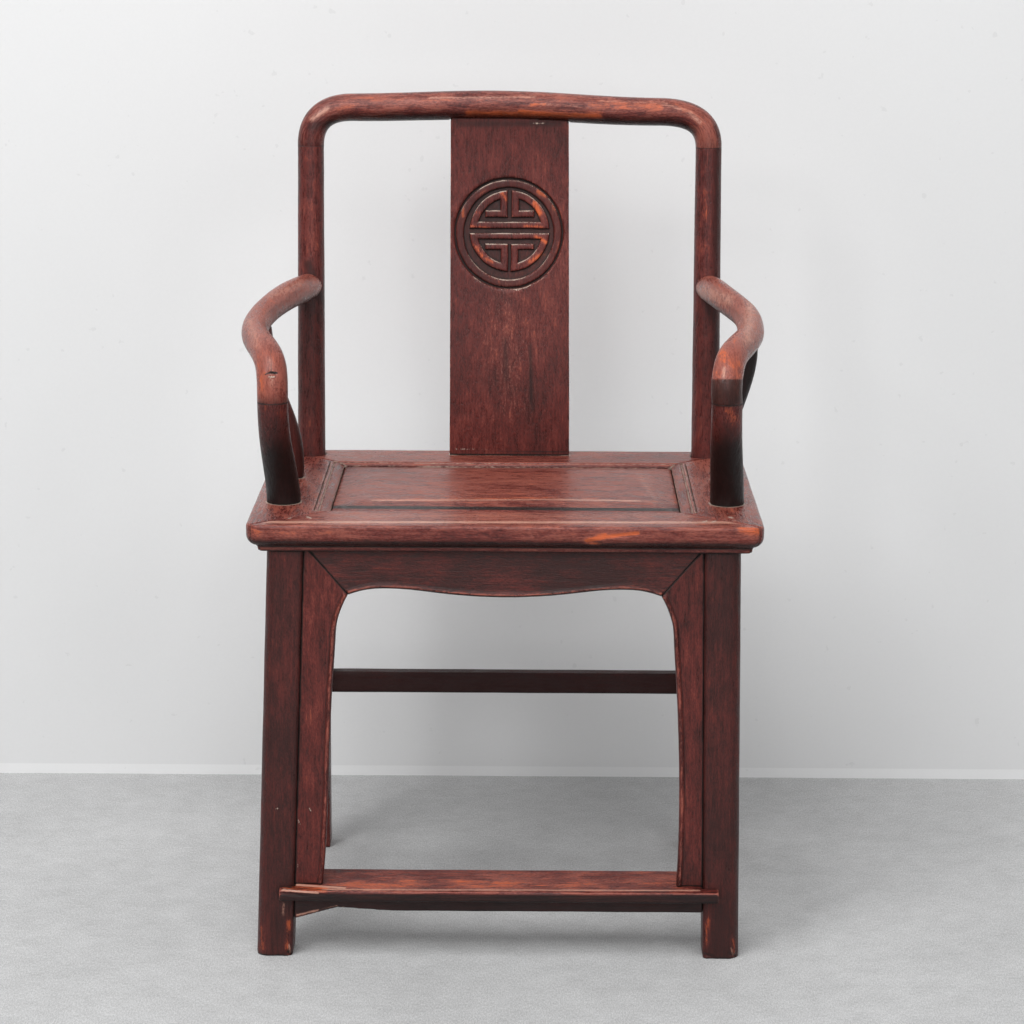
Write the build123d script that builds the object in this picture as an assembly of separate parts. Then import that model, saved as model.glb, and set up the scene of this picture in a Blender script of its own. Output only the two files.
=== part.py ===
from build123d import *
import os

# Left and right are as seen from the front, lengths are in millimetres

SIDES = {"left": -1, "right": 1}

# Seat frame
SEAT_HEIGHT = 500
SEAT_WIDTH = 570
SEAT_DEPTH = 440
NOSE_HEIGHT = 25
BAND_HEIGHT = 7
BAND_INSET = 12.5
CORNER_ROUND = 17
ARRIS_ROUND = 3
NOSE_ROUND = 12
BAND_ROUND = 1.5
RAIL_WIDTH_SIDE = 88
RAIL_WIDTH_FRONT = 80
RAIL_WIDTH_REAR = 86
TENON_WIDTH = 20
TENON_THICKNESS = 10
TENON_DROP = 12
TENON_FRONT_GAP = 9
TENON_REAR_GAP = 12
WEDGE_LENGTH = 24
WEDGE_THICKNESS = 2

# Panel of the seat, its groove, strips and battens
GROOVE_DEPTH = 8
GROOVE_HEIGHT = 6
GROOVE_DROP = 9.5
PANEL_GAP = 0.5
RIM_DROP = 4.5
FIELD_RISE = 1
BEVEL_SIDE = 35
BEVEL_FRONT = 53
BEVEL_REAR = 45
STRIP_HEIGHT = 6.5
STRIP_SIDE_WIDTH = 17
STRIP_REAR_WIDTH = 9
RIB_WIDTH = 3.5
RIB_RISE = 0.8
RIB_GROOVE_WIDTH = 2.6
RIB_GROOVE_DEPTH = 1.4
SLOPE_DROP = 4
SLOPE_BULGE = 0.9
BATTEN_OFFSET = 88
BATTEN_WIDTH = 26
BATTEN_HEIGHT = 13
DOVETAIL_DEPTH = 5
DOVETAIL_WIDTH = 22
DOVETAIL_FLARE = 2
BATTEN_TENON_WIDTH = 13
BATTEN_TENON_LENGTH = 12
BATTEN_TENON_HEIGHT = 8

# Legs and stiles
LEG_WIDTH = 41
LEG_SIDE_INSET = 44.5
FRONT_LEG_SETBACK = 39.5
FRONT_FOOT_ADVANCE = 12
FRONT_FOOT_SPREAD_LEFT = 18
FRONT_FOOT_SPREAD_RIGHT = 5
FRONT_TOP_SPREAD_LEFT = 2.4
REAR_LEG_SETBACK = 30
REAR_FOOT_ADVANCE = 8
REAR_FOOT_SPREAD = 1
LEG_OUTER_ROUND = 13
LEG_FRONT_ROUND = 6
LEG_TENON_WIDTH = 16
LEG_TENON_HEIGHT = 20
STILE_RADIUS_LOW = 17
STILE_RADIUS_HIGH = 15.8
STILE_LEAN_PER_RISE = 0.0908

# Crest rail
CREST_RADIUS = 16.9
CREST_END_RADIUS = 15.9
CREST_SWELL_SHARES = (0.2, 0.8)
CREST_RISE = 422
CREST_BEND_RADIUS_LEFT = 51
CREST_BEND_RADIUS_RIGHT = 60
CREST_CORNER_DROP_LEFT = 3.2
CREST_CORNER_DROP_RIGHT = 7
CREST_END_DROP = 49
PEG_TENON_RADIUS = 8
PEG_TENON_LENGTH = 22
PEG_RADIUS = 2.5

# Back splat, its front curve as shares of the lean and of the height
SPLAT_WIDTH_LOW = 146
SPLAT_WIDTH_HIGH = 142.5
SPLAT_FOOT_SHIFT = 1.5
SPLAT_THICKNESS = 11
SPLAT_FORWARD = 5.9
SPLAT_TOP_DROP = 8
SPLAT_CURVE_SHARES = [(0, 0), (0.08, 0.145), (0.427, 0.435), (0.8, 0.725), (1, 1)]
SPLAT_TONGUE_THICKNESS = 7
SPLAT_TONGUE_LOW = 14
SPLAT_TONGUE_MARGIN = 9
MEDALLION_DROP = 148
MEDALLION_RADIUS = 64
MEDALLION_RING = 9.3
MEDALLION_GROOVE = 7.2
MEDALLION_LINE = 2.4
CARVING_DEPTH = 2.6
ORNAMENT_SLOT = 4.4
ORNAMENT_BAR = 7.4
ORNAMENT_BAND = 9
ORNAMENT_POST = 8.8
ORNAMENT_STUB_HEIGHT = 7
ORNAMENT_STUB_REACH = 29

# Arms: distance forward of the post, bow and rise of the centre line, and shares of each, with
# shares of the way along and of the swelling for the radius
ARM_RADIUS_REAR = 15
ARM_RADIUS_FRONT = 17.2
ARM_RADIUS_SHARES = [(0, 0), (0.3, 0.4), (0.7, 0.45), (0.88, 1), (1, 1)]
ARM_REACH_LEFT = 340.4
ARM_REACH_RIGHT = 339.4
ARM_BOW_LEFT = 48.2
ARM_BOW_RIGHT = 39.3
ARM_RISE = 205
ARM_CURVE_SHARES = {
    "left": [(0, 0, 1), (0.134, 0.202, 1.002), (0.257, 0.438, 0.997), (0.38, 0.7, 0.975),
             (0.515, 0.917, 0.943), (0.633, 1, 0.914), (0.751, 0.94, 0.886), (0.845, 0.767, 0.863),
             (0.924, 0.581, 0.833), (0.977, 0.452, 0.776), (0.997, 0.414, 0.698), (1, 0.411, 0.59)],
    "right": [(0, 0, 1), (0.134, 0.164, 1.006), (0.281, 0.386, 0.999), (0.387, 0.681, 0.974),
              (0.487, 0.926, 0.946), (0.599, 1, 0.916), (0.699, 0.933, 0.889), (0.785, 0.736, 0.871),
              (0.871, 0.477, 0.851), (0.947, 0.26, 0.812), (0.994, 0.147, 0.736), (1, 0.152, 0.597)],
}
ARM_TENON_RADIUS = 6.5
ARM_TENON_LENGTH = 18

# Arm posts: where they stand, and shares of the way up to the arm for x, y, z and radius
ARM_POST_SETBACK_LEFT = 34.3
ARM_POST_SETBACK_RIGHT = 36.4
ARM_POST_OFFSET_LEFT = 11.2
ARM_POST_OFFSET_RIGHT = 10
ARM_POST_RADIUS_LOW = 19.4
ARM_POST_RADIUS_HIGH = 17.2
ARM_POST_SHARES = [(0, 0, 0, 0), (0.14, 0.08, 0.18, 0.13), (0.58, 0.41, 0.455, 0.45),
                   (0.93, 0.8, 0.753, 0.87), (1, 1, 1, 1)]
POST_TENON_RADIUS = 9
POST_TENON_LENGTH = 22
ARM_JOINT_TENON_RADIUS = 7
ARM_JOINT_TENON_LENGTH = 16

# Spindles: where they stand, how far they bow out, and shares of bow, way to the arm, height and radius
SPINDLE_OFFSET = 11
SPINDLE_SETBACK = 144
SPINDLE_BOW = 32.5
SPINDLE_RADIUS_LOW = 12.2
SPINDLE_RADIUS_HIGH = 9.4
SPINDLE_ARM_SHARE = {"left": 0.48, "right": 0.495}
SPINDLE_SHARES = [(0, 0, 0, 0), (-0.009, 0.07, 0.168, 0.07), (0.154, 0.25, 0.326, 0.21),
                  (0.569, 0.57, 0.542, 0.5), (0.88, 0.82, 0.763, 0.79)]
SPINDLE_TENON_RADIUS = 6
SPINDLE_TENON_LENGTH = 12

# Front arch: shares of half its span and of its rise, and of the run from corner to foot
ARCH_BOARD_WIDTH = 46.5
ARCH_BOARD_HEIGHT = 53
ARCH_RISE = 9.2
ARCH_TOP_SHARES = [(0, 0), (0.219, 0.13), (0.432, 0.5), (0.599, 0.86), (0.755, 1), (0.87, 0.87), (0.951, 0.522)]
ARCH_CORNER_SHARE = 0.217
ARCH_SPREAD = 22.5
ARCH_FOOT_SPREAD_LEFT = 30.5
ARCH_FOOT_SPREAD_RIGHT = 21
ARCH_SIDE_SHARES = [(0.347, 0.049), (0.556, 0.095), (0.658, 0.17), (0.724, 0.23), (0.849, 0.358), (1, 0.603)]
ARCH_MITRE_LEAN = 0.86
BOARD_THICKNESS = 10
BOARD_RECESS = 5
BOARD_TONGUE_THICKNESS = 4
BOARD_TONGUE_REACH = 5
BEAD_RADIUS = 2.4
BEAD_MARGIN = 0.6

# Plain aprons
APRON_THICKNESS = 9
APRON_HEIGHT = 44
APRON_END_DROP = 16
APRON_END_LENGTH = 30
APRON_BEND_SHARES = (0.7, 0.35)
APRON_RECESS = 5

# Footrest and stretchers
FOOTREST_OVERHANG = 13
FOOTREST_DEPTH = 62
FOOTREST_BOTTOM = 69
FOOTREST_THICKNESS_FRONT = 12.5
FOOTREST_THICKNESS_BACK = 18.5
FOOTREST_END_INSET_LEFT = 4.6
FOOTREST_END_INSET_RIGHT = 3.1
FOOTREST_EDGE_ROUND = 1.5
FOOTREST_TENON_WIDTH = 20
FOOTREST_TENON_HEIGHT = 9
FOOTREST_TENON_REACH = 18
FOOT_APRON_HEIGHT = 16.2
FOOT_APRON_THICKNESS = 10
FOOT_APRON_BROKEN_DROP = 11
FOOT_APRON_BROKEN_LENGTH = 33
FOOT_APRON_BROKEN_RISE = 4
FOOT_APRON_BROKEN_TAPER = 62
STRETCHER_WIDTH = 19
STRETCHER_HEIGHT = 26.5
SIDE_STRETCHER_LEVEL = 150
REAR_STRETCHER_LEVEL = 212.5
STRETCHER_TENON_WIDTH = 8
STRETCHER_TENON_HEIGHT = 18
STRETCHER_TENON_INSET = 6

# Clearances
FIT = 0.2
DEPTH_FIT = 1


def by_side(left, right):
    """A value for each side of the chair."""
    return {"left": left, "right": right}


FRONT_FOOT_SPREAD = by_side(FRONT_FOOT_SPREAD_LEFT, FRONT_FOOT_SPREAD_RIGHT)
FRONT_TOP_SPREAD = by_side(FRONT_TOP_SPREAD_LEFT, 0)
CREST_BEND_RADIUS = by_side(CREST_BEND_RADIUS_LEFT, CREST_BEND_RADIUS_RIGHT)
CREST_CORNER_DROP = by_side(CREST_CORNER_DROP_LEFT, CREST_CORNER_DROP_RIGHT)
ARM_REACH = by_side(ARM_REACH_LEFT, ARM_REACH_RIGHT)
ARM_BOW = by_side(ARM_BOW_LEFT, ARM_BOW_RIGHT)
ARM_POST_SETBACK = by_side(ARM_POST_SETBACK_LEFT, ARM_POST_SETBACK_RIGHT)
ARM_POST_OFFSET = by_side(ARM_POST_OFFSET_LEFT, ARM_POST_OFFSET_RIGHT)
ARCH_FOOT_SPREAD = by_side(ARCH_FOOT_SPREAD_LEFT, ARCH_FOOT_SPREAD_RIGHT)
FOOTREST_END_INSET = by_side(FOOTREST_END_INSET_LEFT, FOOTREST_END_INSET_RIGHT)

LEG_OFFSET = SEAT_WIDTH / 2 - LEG_SIDE_INSET
OPENING_SIDE = SEAT_WIDTH / 2 - RAIL_WIDTH_SIDE
OPENING_FRONT = RAIL_WIDTH_FRONT - SEAT_DEPTH / 2
OPENING_REAR = SEAT_DEPTH / 2 - RAIL_WIDTH_REAR
FRAME_THICKNESS = NOSE_HEIGHT + BAND_HEIGHT
FRAME_BOTTOM = SEAT_HEIGHT - FRAME_THICKNESS
FRONT_LEG_Y = FRONT_LEG_SETBACK - SEAT_DEPTH / 2
REAR_LEG_Y = SEAT_DEPTH / 2 - REAR_LEG_SETBACK
GROOVE_TOP = SEAT_HEIGHT - GROOVE_DROP
GROOVE_BOTTOM = GROOVE_TOP - GROOVE_HEIGHT
STRIP_BOTTOM = SEAT_HEIGHT - STRIP_HEIGHT
CREST_JOINT_RISE = CREST_RISE - CREST_END_DROP
MEDALLION_INNER = MEDALLION_RADIUS - MEDALLION_RING
MEDALLION_DISC_RADIUS = MEDALLION_INNER - MEDALLION_GROOVE
FOOTREST_LIP_HEIGHT = FOOTREST_BOTTOM + FOOTREST_THICKNESS_FRONT
ARCH_CORNER = (LEG_OFFSET - LEG_WIDTH / 2 - ARCH_BOARD_WIDTH,
               FRAME_BOTTOM - ARCH_BOARD_HEIGHT + ARCH_RISE * ARCH_CORNER_SHARE)


def block(x_range, y_range, z_range):
    """Box between three pairs of limits."""
    sizes = [high - low for low, high in (x_range, y_range, z_range)]
    middle = [(high + low) / 2 for low, high in (x_range, y_range, z_range)]
    return Pos(*middle) * Box(*sizes)


def plan_prism(points, low, high):
    """Upright prism over a plan outline."""
    outline = make_face(Polyline(*points, close=True))
    return extrude(Pos(0, 0, low) * outline, high - low)


def slanted(section, start, end):
    """Section carried straight from start to end."""
    run = Vector(*end) - Vector(*start)
    return extrude(Pos(*start) * section, run.length, dir=run.normalized())


def tube(curve, growth=0.0):
    """Rod through centre points with a radius at each."""
    sections = [Pos(x, y, z) * Circle(radius + growth) for x, y, z, radius in curve]
    return loft(sections)


def swept_rod(path, sizes):
    """Rod along a path with a radius at each share of its length."""
    sections = [Plane(origin=path @ share, z_dir=path % share) * Circle(radius) for share, radius in sizes]
    return sweep(sections, path, multisection=True)


def joined(bodies):
    """Several bodies as one part."""
    whole = bodies[0]
    for body in bodies[1:]:
        whole = whole + body
    return whole


def upright_peg(x, y, z, radius, length):
    """Round peg rising from a point."""
    return extrude(Pos(x, y, z) * Circle(radius), length)


# Legs and stiles


def leg_line(row, side):
    """Foot and top of a leg's centre line."""
    sign = SIDES[side]
    if row == "front":
        foot_x = sign * (LEG_OFFSET + FRONT_FOOT_SPREAD[side])
        foot = (foot_x, FRONT_LEG_Y - FRONT_FOOT_ADVANCE, 0)
        return foot, (sign * (LEG_OFFSET + FRONT_TOP_SPREAD[side]), FRONT_LEG_Y, FRAME_BOTTOM)
    foot = (sign * (LEG_OFFSET + REAR_FOOT_SPREAD), REAR_LEG_Y + REAR_FOOT_ADVANCE, 0)
    return foot, (sign * LEG_OFFSET, REAR_LEG_Y, FRAME_BOTTOM)


def leg_point(row, side, height):
    """Centre of a leg at a height above the floor."""
    foot, top = leg_line(row, side)
    share = height / FRAME_BOTTOM
    return tuple(low + (high - low) * share for low, high in zip(foot, top))


def leg_section(row, side):
    """Square section, round on the outside and square on the inside."""
    sign = SIDES[side]
    outward = -1 if row == "front" else 1
    section = Rectangle(LEG_WIDTH, LEG_WIDTH)
    for x_side, y_side, radius in ((sign, outward, LEG_OUTER_ROUND), (-sign, outward, LEG_FRONT_ROUND),
                                   (sign, -outward, LEG_FRONT_ROUND)):
        target = (x_side * LEG_WIDTH / 2, y_side * LEG_WIDTH / 2, 0)
        corner = section.vertices().sort_by_distance(target)[0]
        section = fillet(corner, radius)
    return section


def leg_body(row, side):
    """Leg below the seat frame."""
    return slanted(leg_section(row, side), *leg_line(row, side))


def leg_space(row, side):
    """Square room that a leg needs, with its clearance."""
    width = LEG_WIDTH + 2 * FIT
    return slanted(Rectangle(width, width), *leg_line(row, side))


def stile_point(side, rise):
    """Centre of a stile at a rise above the seat."""
    height = rise + FRAME_THICKNESS
    return SIDES[side] * LEG_OFFSET, REAR_LEG_Y + STILE_LEAN_PER_RISE * height, SEAT_HEIGHT + rise


def stile_body(side, growth=0.0):
    """Round stile above the leg, leaning back."""
    low = stile_point(side, -FRAME_THICKNESS)
    high = stile_point(side, CREST_JOINT_RISE)
    return tube([(*low, STILE_RADIUS_LOW + growth), (*high, STILE_RADIUS_HIGH + growth)])


def arm_curve(side):
    """Centre points of an arm, from the rear post forwards."""
    x, y, z = stile_point(side, ARM_RISE)
    bow, reach = SIDES[side] * ARM_BOW[side], ARM_REACH[side]
    return [(x + bow * outward, y - reach * forward, SEAT_HEIGHT + ARM_RISE * rise)
            for forward, outward, rise in ARM_CURVE_SHARES[side]]


def swelling(start, end, radius_low, radius_high, shares):
    """Centre points between two ends, each with its radius."""
    points = []
    for *place, thinning in shares:
        centre = [low + (high - low) * share for low, high, share in zip(start, end, place)]
        points.append((*centre, radius_low + (radius_high - radius_low) * thinning))
    return points


def arm_post_curve(side):
    """Centre points and radii of an arm post."""
    end = arm_curve(side)[-1]
    start = (SIDES[side] * (LEG_OFFSET + ARM_POST_OFFSET[side]), end[1] + ARM_POST_SETBACK[side], SEAT_HEIGHT)
    return swelling(start, end, ARM_POST_RADIUS_LOW, ARM_POST_RADIUS_HIGH, ARM_POST_SHARES)


def spindle_curve(side):
    """Centre points and radii of a spindle, ending on the centre line of the arm."""
    sign = SIDES[side]
    head = Spline(*arm_curve(side)) @ SPINDLE_ARM_SHARE[side]
    start = (sign * (LEG_OFFSET + SPINDLE_OFFSET), REAR_LEG_Y - SPINDLE_SETBACK, SEAT_HEIGHT)
    bowed = (start[0] + sign * SPINDLE_BOW, head.Y, head.Z)
    points = swelling(start, bowed, SPINDLE_RADIUS_LOW, SPINDLE_RADIUS_HIGH, SPINDLE_SHARES)
    return [*points, (*head, SPINDLE_RADIUS_HIGH)]


def crest_peg(side, growth=0.0):
    """Round tenon on top of a stile."""
    return upright_peg(*stile_point(side, CREST_JOINT_RISE), PEG_TENON_RADIUS + growth, PEG_TENON_LENGTH + growth)


def rear_post(side):
    """Leg and stile in one length."""
    return leg_body("rear", side) + stile_body(side) + crest_peg(side)


def front_leg_tenon(side, growth=0.0):
    """Square tenon on top of a front leg."""
    width = LEG_TENON_WIDTH + 2 * growth
    base = Pos(*leg_line("front", side)[1])
    return extrude(base * Rectangle(width, width), LEG_TENON_HEIGHT + growth)


def front_leg(side):
    """Front leg with its tenon."""
    return leg_body("front", side) + front_leg_tenon(side)


# Seat frame


def seat_blank():
    """Slab with the moulded edge of the seat frame."""
    top = Pos(0, 0, SEAT_HEIGHT)
    nose = extrude(top * RectangleRounded(SEAT_WIDTH, SEAT_DEPTH, CORNER_ROUND), -NOSE_HEIGHT)
    nose = fillet(nose.edges().group_by(Axis.Z)[-1], ARRIS_ROUND)
    nose = fillet(nose.edges().group_by(Axis.Z)[0], NOSE_ROUND)
    width = SEAT_WIDTH - 2 * BAND_INSET
    depth = SEAT_DEPTH - 2 * BAND_INSET
    outline = RectangleRounded(width, depth, CORNER_ROUND - BAND_INSET)
    band = extrude(Pos(0, 0, FRAME_BOTTOM) * outline, BAND_HEIGHT)
    band = fillet(band.edges().group_by(Axis.Z)[0], BAND_ROUND)
    return nose + band


def seat_corners():
    """Outer and inner plan corners of the frame, in order round the seat."""
    x, y = SEAT_WIDTH / 2, SEAT_DEPTH / 2
    outer = [(-x, -y), (x, -y), (x, y), (-x, y)]
    inner_x = OPENING_SIDE
    inner = [(-inner_x, OPENING_FRONT), (inner_x, OPENING_FRONT), (inner_x, OPENING_REAR), (-inner_x, OPENING_REAR)]
    return outer, inner


def rail_blank(index, blank):
    """One side of the frame between its two mitres."""
    outer, inner = seat_corners()
    following = (index + 1) % len(outer)
    points = [outer[index], outer[following], inner[following], inner[index]]
    return blank & plan_prism(points, FRAME_BOTTOM, SEAT_HEIGHT)


def rail_tenons(blank, growth=0.0):
    """Through tenons of the front and rear rails, flush with the moulded edge."""
    front = OPENING_FRONT - TENON_FRONT_GAP
    rear = OPENING_REAR + TENON_REAR_GAP
    top = SEAT_HEIGHT - TENON_DROP + growth
    low = SEAT_HEIGHT - TENON_DROP - TENON_THICKNESS - growth
    tenons = {"front": [], "rear": []}
    for row, y_range in (("front", (front - TENON_WIDTH, front)), ("rear", (rear, rear + TENON_WIDTH))):
        for sign in SIDES.values():
            x_range = sorted((sign * OPENING_SIDE, sign * SEAT_WIDTH / 2))
            grown = (y_range[0] - growth, y_range[1] + growth)
            tenons[row].append(block(x_range, grown, (low, top)) & blank)
    return tenons


def tenon_wedge(row, sign):
    """Flat wedge driven into the end of a through tenon."""
    front = OPENING_FRONT - TENON_FRONT_GAP
    rear = OPENING_REAR + TENON_REAR_GAP
    middle = front - TENON_WIDTH / 2 if row == "front" else rear + TENON_WIDTH / 2
    end = SEAT_WIDTH / 2 - BAND_INSET / 2
    x_range = sorted((sign * (end - WEDGE_LENGTH), sign * end))
    y_range = (middle - WEDGE_THICKNESS / 2, middle + WEDGE_THICKNESS / 2)
    top = SEAT_HEIGHT - TENON_DROP
    return block(x_range, y_range, (top - TENON_THICKNESS, top))


def panel_plate(inset, low, high):
    """Plate filling the seat opening, less an inset all round."""
    x = OPENING_SIDE - inset
    return block((-x, x), (OPENING_FRONT + inset, OPENING_REAR - inset), (low, high))


def strip_bed():
    """Rebate along three sides of the opening for the moulded strips."""
    x = OPENING_SIDE + STRIP_SIDE_WIDTH
    return block((-x, x), (OPENING_FRONT, OPENING_REAR + STRIP_REAR_WIDTH), (STRIP_BOTTOM, SEAT_HEIGHT))


def seat_rails():
    """Four mitred rails with all their grooves, holes and tenons."""
    blank = seat_blank()
    tenons = rail_tenons(blank)
    slots = rail_tenons(blank, FIT)
    groove = panel_plate(-GROOVE_DEPTH, GROOVE_BOTTOM, GROOVE_TOP)
    cutters = [groove, strip_bed()]
    for side in SIDES:
        cutters.append(stile_body(side, FIT))
        cutters.append(front_leg_tenon(side, FIT))
        cutters.append(post_foot_tenon(arm_post_curve(side), POST_TENON_RADIUS + FIT, POST_TENON_LENGTH + DEPTH_FIT))
        cutters.append(post_foot_tenon(spindle_curve(side), SPINDLE_TENON_RADIUS + FIT,
                                       SPINDLE_TENON_LENGTH + DEPTH_FIT))
        cutters.append(batten_tenons(side, FIT))
    cutters.append(splat_tongue(FIT))
    rails = {}
    for index, name in enumerate(("front", "right", "rear", "left")):
        rail = rail_blank(index, blank)
        if name in tenons:
            rail = rail + tenons[name]
            for sign in SIDES.values():
                rail = rail - tenon_wedge(name, sign)
        else:
            for row in slots:
                rail = rail - slots[row]
        rails[name] = rail - cutters
    return rails


def seat_wedges():
    """Four wedges of the through tenons."""
    return joined([tenon_wedge(row, sign) for row in ("front", "rear") for sign in SIDES.values()])


# Seat panel


def seat_panel():
    """Board with a tongue all round and a raised field."""
    tongue = panel_plate(PANEL_GAP - GROOVE_DEPTH, GROOVE_BOTTOM + FIT, GROOVE_TOP - FIT)
    rim = SEAT_HEIGHT - RIM_DROP
    body = panel_plate(PANEL_GAP, GROOVE_BOTTOM + FIT, rim)
    low = body.faces().sort_by(Axis.Z)[-1]
    x = OPENING_SIDE - BEVEL_SIDE
    front = OPENING_FRONT + BEVEL_FRONT
    rear = OPENING_REAR - BEVEL_REAR
    field = Pos(0, (front + rear) / 2, SEAT_HEIGHT + FIELD_RISE) * Rectangle(2 * x, rear - front)
    panel = body + tongue + loft([low, field.face()])
    for side in SIDES:
        panel = panel - batten_dovetail(side, FIT)
    return panel


def batten_dovetail(side, growth=0.0):
    """Dovetailed rib of a batten, let into the underside of the panel."""
    half = DOVETAIL_WIDTH / 2 + growth
    low = GROOVE_BOTTOM
    points = [(-half + DOVETAIL_FLARE, low), (half - DOVETAIL_FLARE, low), (half, low + DOVETAIL_DEPTH + growth),
              (-half, low + DOVETAIL_DEPTH + growth)]
    section = Plane.XZ * make_face(Polyline(*points, close=True))
    length = OPENING_REAR - OPENING_FRONT - 2 * PANEL_GAP
    centre = (OPENING_REAR + OPENING_FRONT) / 2
    return Pos(SIDES[side] * BATTEN_OFFSET, centre, 0) * extrude(section, length / 2, both=True)


def batten_tenons(side, growth=0.0):
    """Bar through the batten that ends in a tenon at each rail."""
    x = SIDES[side] * BATTEN_OFFSET
    half = BATTEN_TENON_WIDTH / 2 + growth
    low = GROOVE_BOTTOM - BATTEN_HEIGHT
    reach = BATTEN_TENON_LENGTH + growth
    y_range = (OPENING_FRONT - reach, OPENING_REAR + reach)
    return block((x - half, x + half), y_range, (low - growth, low + BATTEN_TENON_HEIGHT + growth))


def seat_batten(side):
    """Batten under the panel."""
    x = SIDES[side] * BATTEN_OFFSET
    low = GROOVE_BOTTOM - BATTEN_HEIGHT
    y_range = (OPENING_FRONT + PANEL_GAP, OPENING_REAR - PANEL_GAP)
    bar = block((x - BATTEN_WIDTH / 2, x + BATTEN_WIDTH / 2), y_range, (low, GROOVE_BOTTOM))
    return bar + batten_dovetail(side) + batten_tenons(side)


def strip_section(width):
    """Strip section from the opening outwards: slope, groove and rib."""
    rib = width - RIB_WIDTH
    shoulder = rib - RIB_GROOVE_WIDTH
    top = STRIP_HEIGHT
    low = top - SLOPE_DROP
    floor = top - RIB_GROOVE_DEPTH
    middle = (shoulder / 2, (low + top) / 2 + SLOPE_BULGE)
    slope = ThreePointArc((0, low), middle, (shoulder, top))
    bead = ThreePointArc((rib, top), (rib + RIB_WIDTH / 2, top + RIB_RISE), (width, top))
    edges = [slope, Polyline((shoulder, top), (shoulder, floor), (rib, floor), (rib, top)), bead,
             Polyline((width, top), (width, 0), (0, 0), (0, low))]
    return make_face(edges)


def seat_strip(name):
    """Moulded strip on one side of the opening, mitred at the rear."""
    low = STRIP_BOTTOM
    high = SEAT_HEIGHT + RIB_RISE
    x_inner, x_outer = OPENING_SIDE, OPENING_SIDE + STRIP_SIDE_WIDTH
    y_inner, y_outer = OPENING_REAR, OPENING_REAR + STRIP_REAR_WIDTH
    if name == "rear":
        plane = Plane(origin=(x_outer, y_inner, low), x_dir=(0, 1, 0), z_dir=(-1, 0, 0))
        bar = extrude(plane * mirror(strip_section(STRIP_REAR_WIDTH), Plane.XZ), 2 * x_outer)
        points = [(-x_inner, y_inner), (x_inner, y_inner), (x_outer, y_outer), (-x_outer, y_outer)]
        return bar & plan_prism(points, low, high)
    plane = Plane(origin=(x_inner, OPENING_FRONT, low), x_dir=(1, 0, 0), z_dir=(0, -1, 0))
    bar = extrude(plane * strip_section(STRIP_SIDE_WIDTH), -(y_outer - OPENING_FRONT))
    points = [(x_inner, OPENING_FRONT), (x_outer, OPENING_FRONT), (x_outer, y_outer), (x_inner, y_inner)]
    strip = bar & plan_prism(points, low, high)
    return strip if name == "right" else mirror(strip, Plane.YZ)


# Crest rail and splat


def crest_point(side, offset, rise):
    """Point of the leaning crest plane."""
    x, y, z = stile_point(side, rise)
    return x - SIDES[side] * offset, y, z


def crest_path():
    """Centre line with a bend at each end and a slight arch."""
    ends = {side: crest_point(side, 0, CREST_JOINT_RISE) for side in SIDES}
    corners = {side: crest_point(side, CREST_BEND_RADIUS[side], CREST_RISE - CREST_CORNER_DROP[side])
               for side in SIDES}
    up = Vector(*stile_point("left", CREST_RISE)) - Vector(*stile_point("left", 0))
    centre = crest_point("left", LEG_OFFSET, CREST_RISE)
    across = Vector(LEG_OFFSET, 0, 0).normalized()
    left = Spline(ends["left"], corners["left"], tangents=[up.normalized(), across])
    right = Spline(corners["right"], ends["right"], tangents=[across, -up.normalized()])
    top = Spline(corners["left"], centre, corners["right"], tangents=[across, across])
    return Wire([left.edge(), top.edge(), right.edge()])


def crest_rail():
    """Round rail with bent-down ends and sockets for stiles and splat."""
    swell = [(share, CREST_RADIUS) for share in CREST_SWELL_SHARES]
    rail = swept_rod(crest_path(), [(0, CREST_END_RADIUS), *swell, (1, CREST_END_RADIUS)])
    for side in SIDES:
        rail = rail - crest_end_cut(side)
        rail = rail - crest_peg(side, FIT)
        rail = rail - crest_pin(side, FIT)
    return rail - splat_tongue(FIT) - splat_board(FIT)


def crest_end_cut(side):
    """Room below the pipe joint, level with the top of the stile."""
    x, y, z = stile_point(side, CREST_JOINT_RISE)
    reach = 2 * CREST_RADIUS
    return block((x - reach, x + reach), (y - reach, y + reach), (z - reach, z))


def crest_pin(side, growth=0.0):
    """Wooden pin through a crest joint."""
    x, y, z = stile_point(side, CREST_JOINT_RISE + PEG_TENON_LENGTH / 2)
    length = 2 * CREST_END_RADIUS - 2 * PEG_RADIUS
    return Pos(x, y, z) * Rot(90, 0, 0) * Cylinder(PEG_RADIUS + growth, length + 2 * growth)


def splat_front():
    """Side view of the splat's front face, following the lean of the stiles."""
    height = CREST_RISE - SPLAT_TOP_DROP
    low, high = stile_point("left", 0), stile_point("left", height)
    return [(low[1] - SPLAT_FORWARD + (high[1] - low[1]) * lean, SEAT_HEIGHT + height * rise)
            for lean, rise in SPLAT_CURVE_SHARES]


def splat_layer(offset, thickness):
    """Curved sheet of the splat's width, between two offsets behind its front."""
    front = [(y + offset, z) for y, z in splat_front()]
    back = [(y + thickness, z) for y, z in front]
    edges = [Spline(*front), Line(front[-1], back[-1]), Spline(*reversed(back)), Line(back[0], front[0])]
    section = Plane.YZ * make_face(edges)
    return extrude(section, SPLAT_WIDTH_LOW, both=True)


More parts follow.
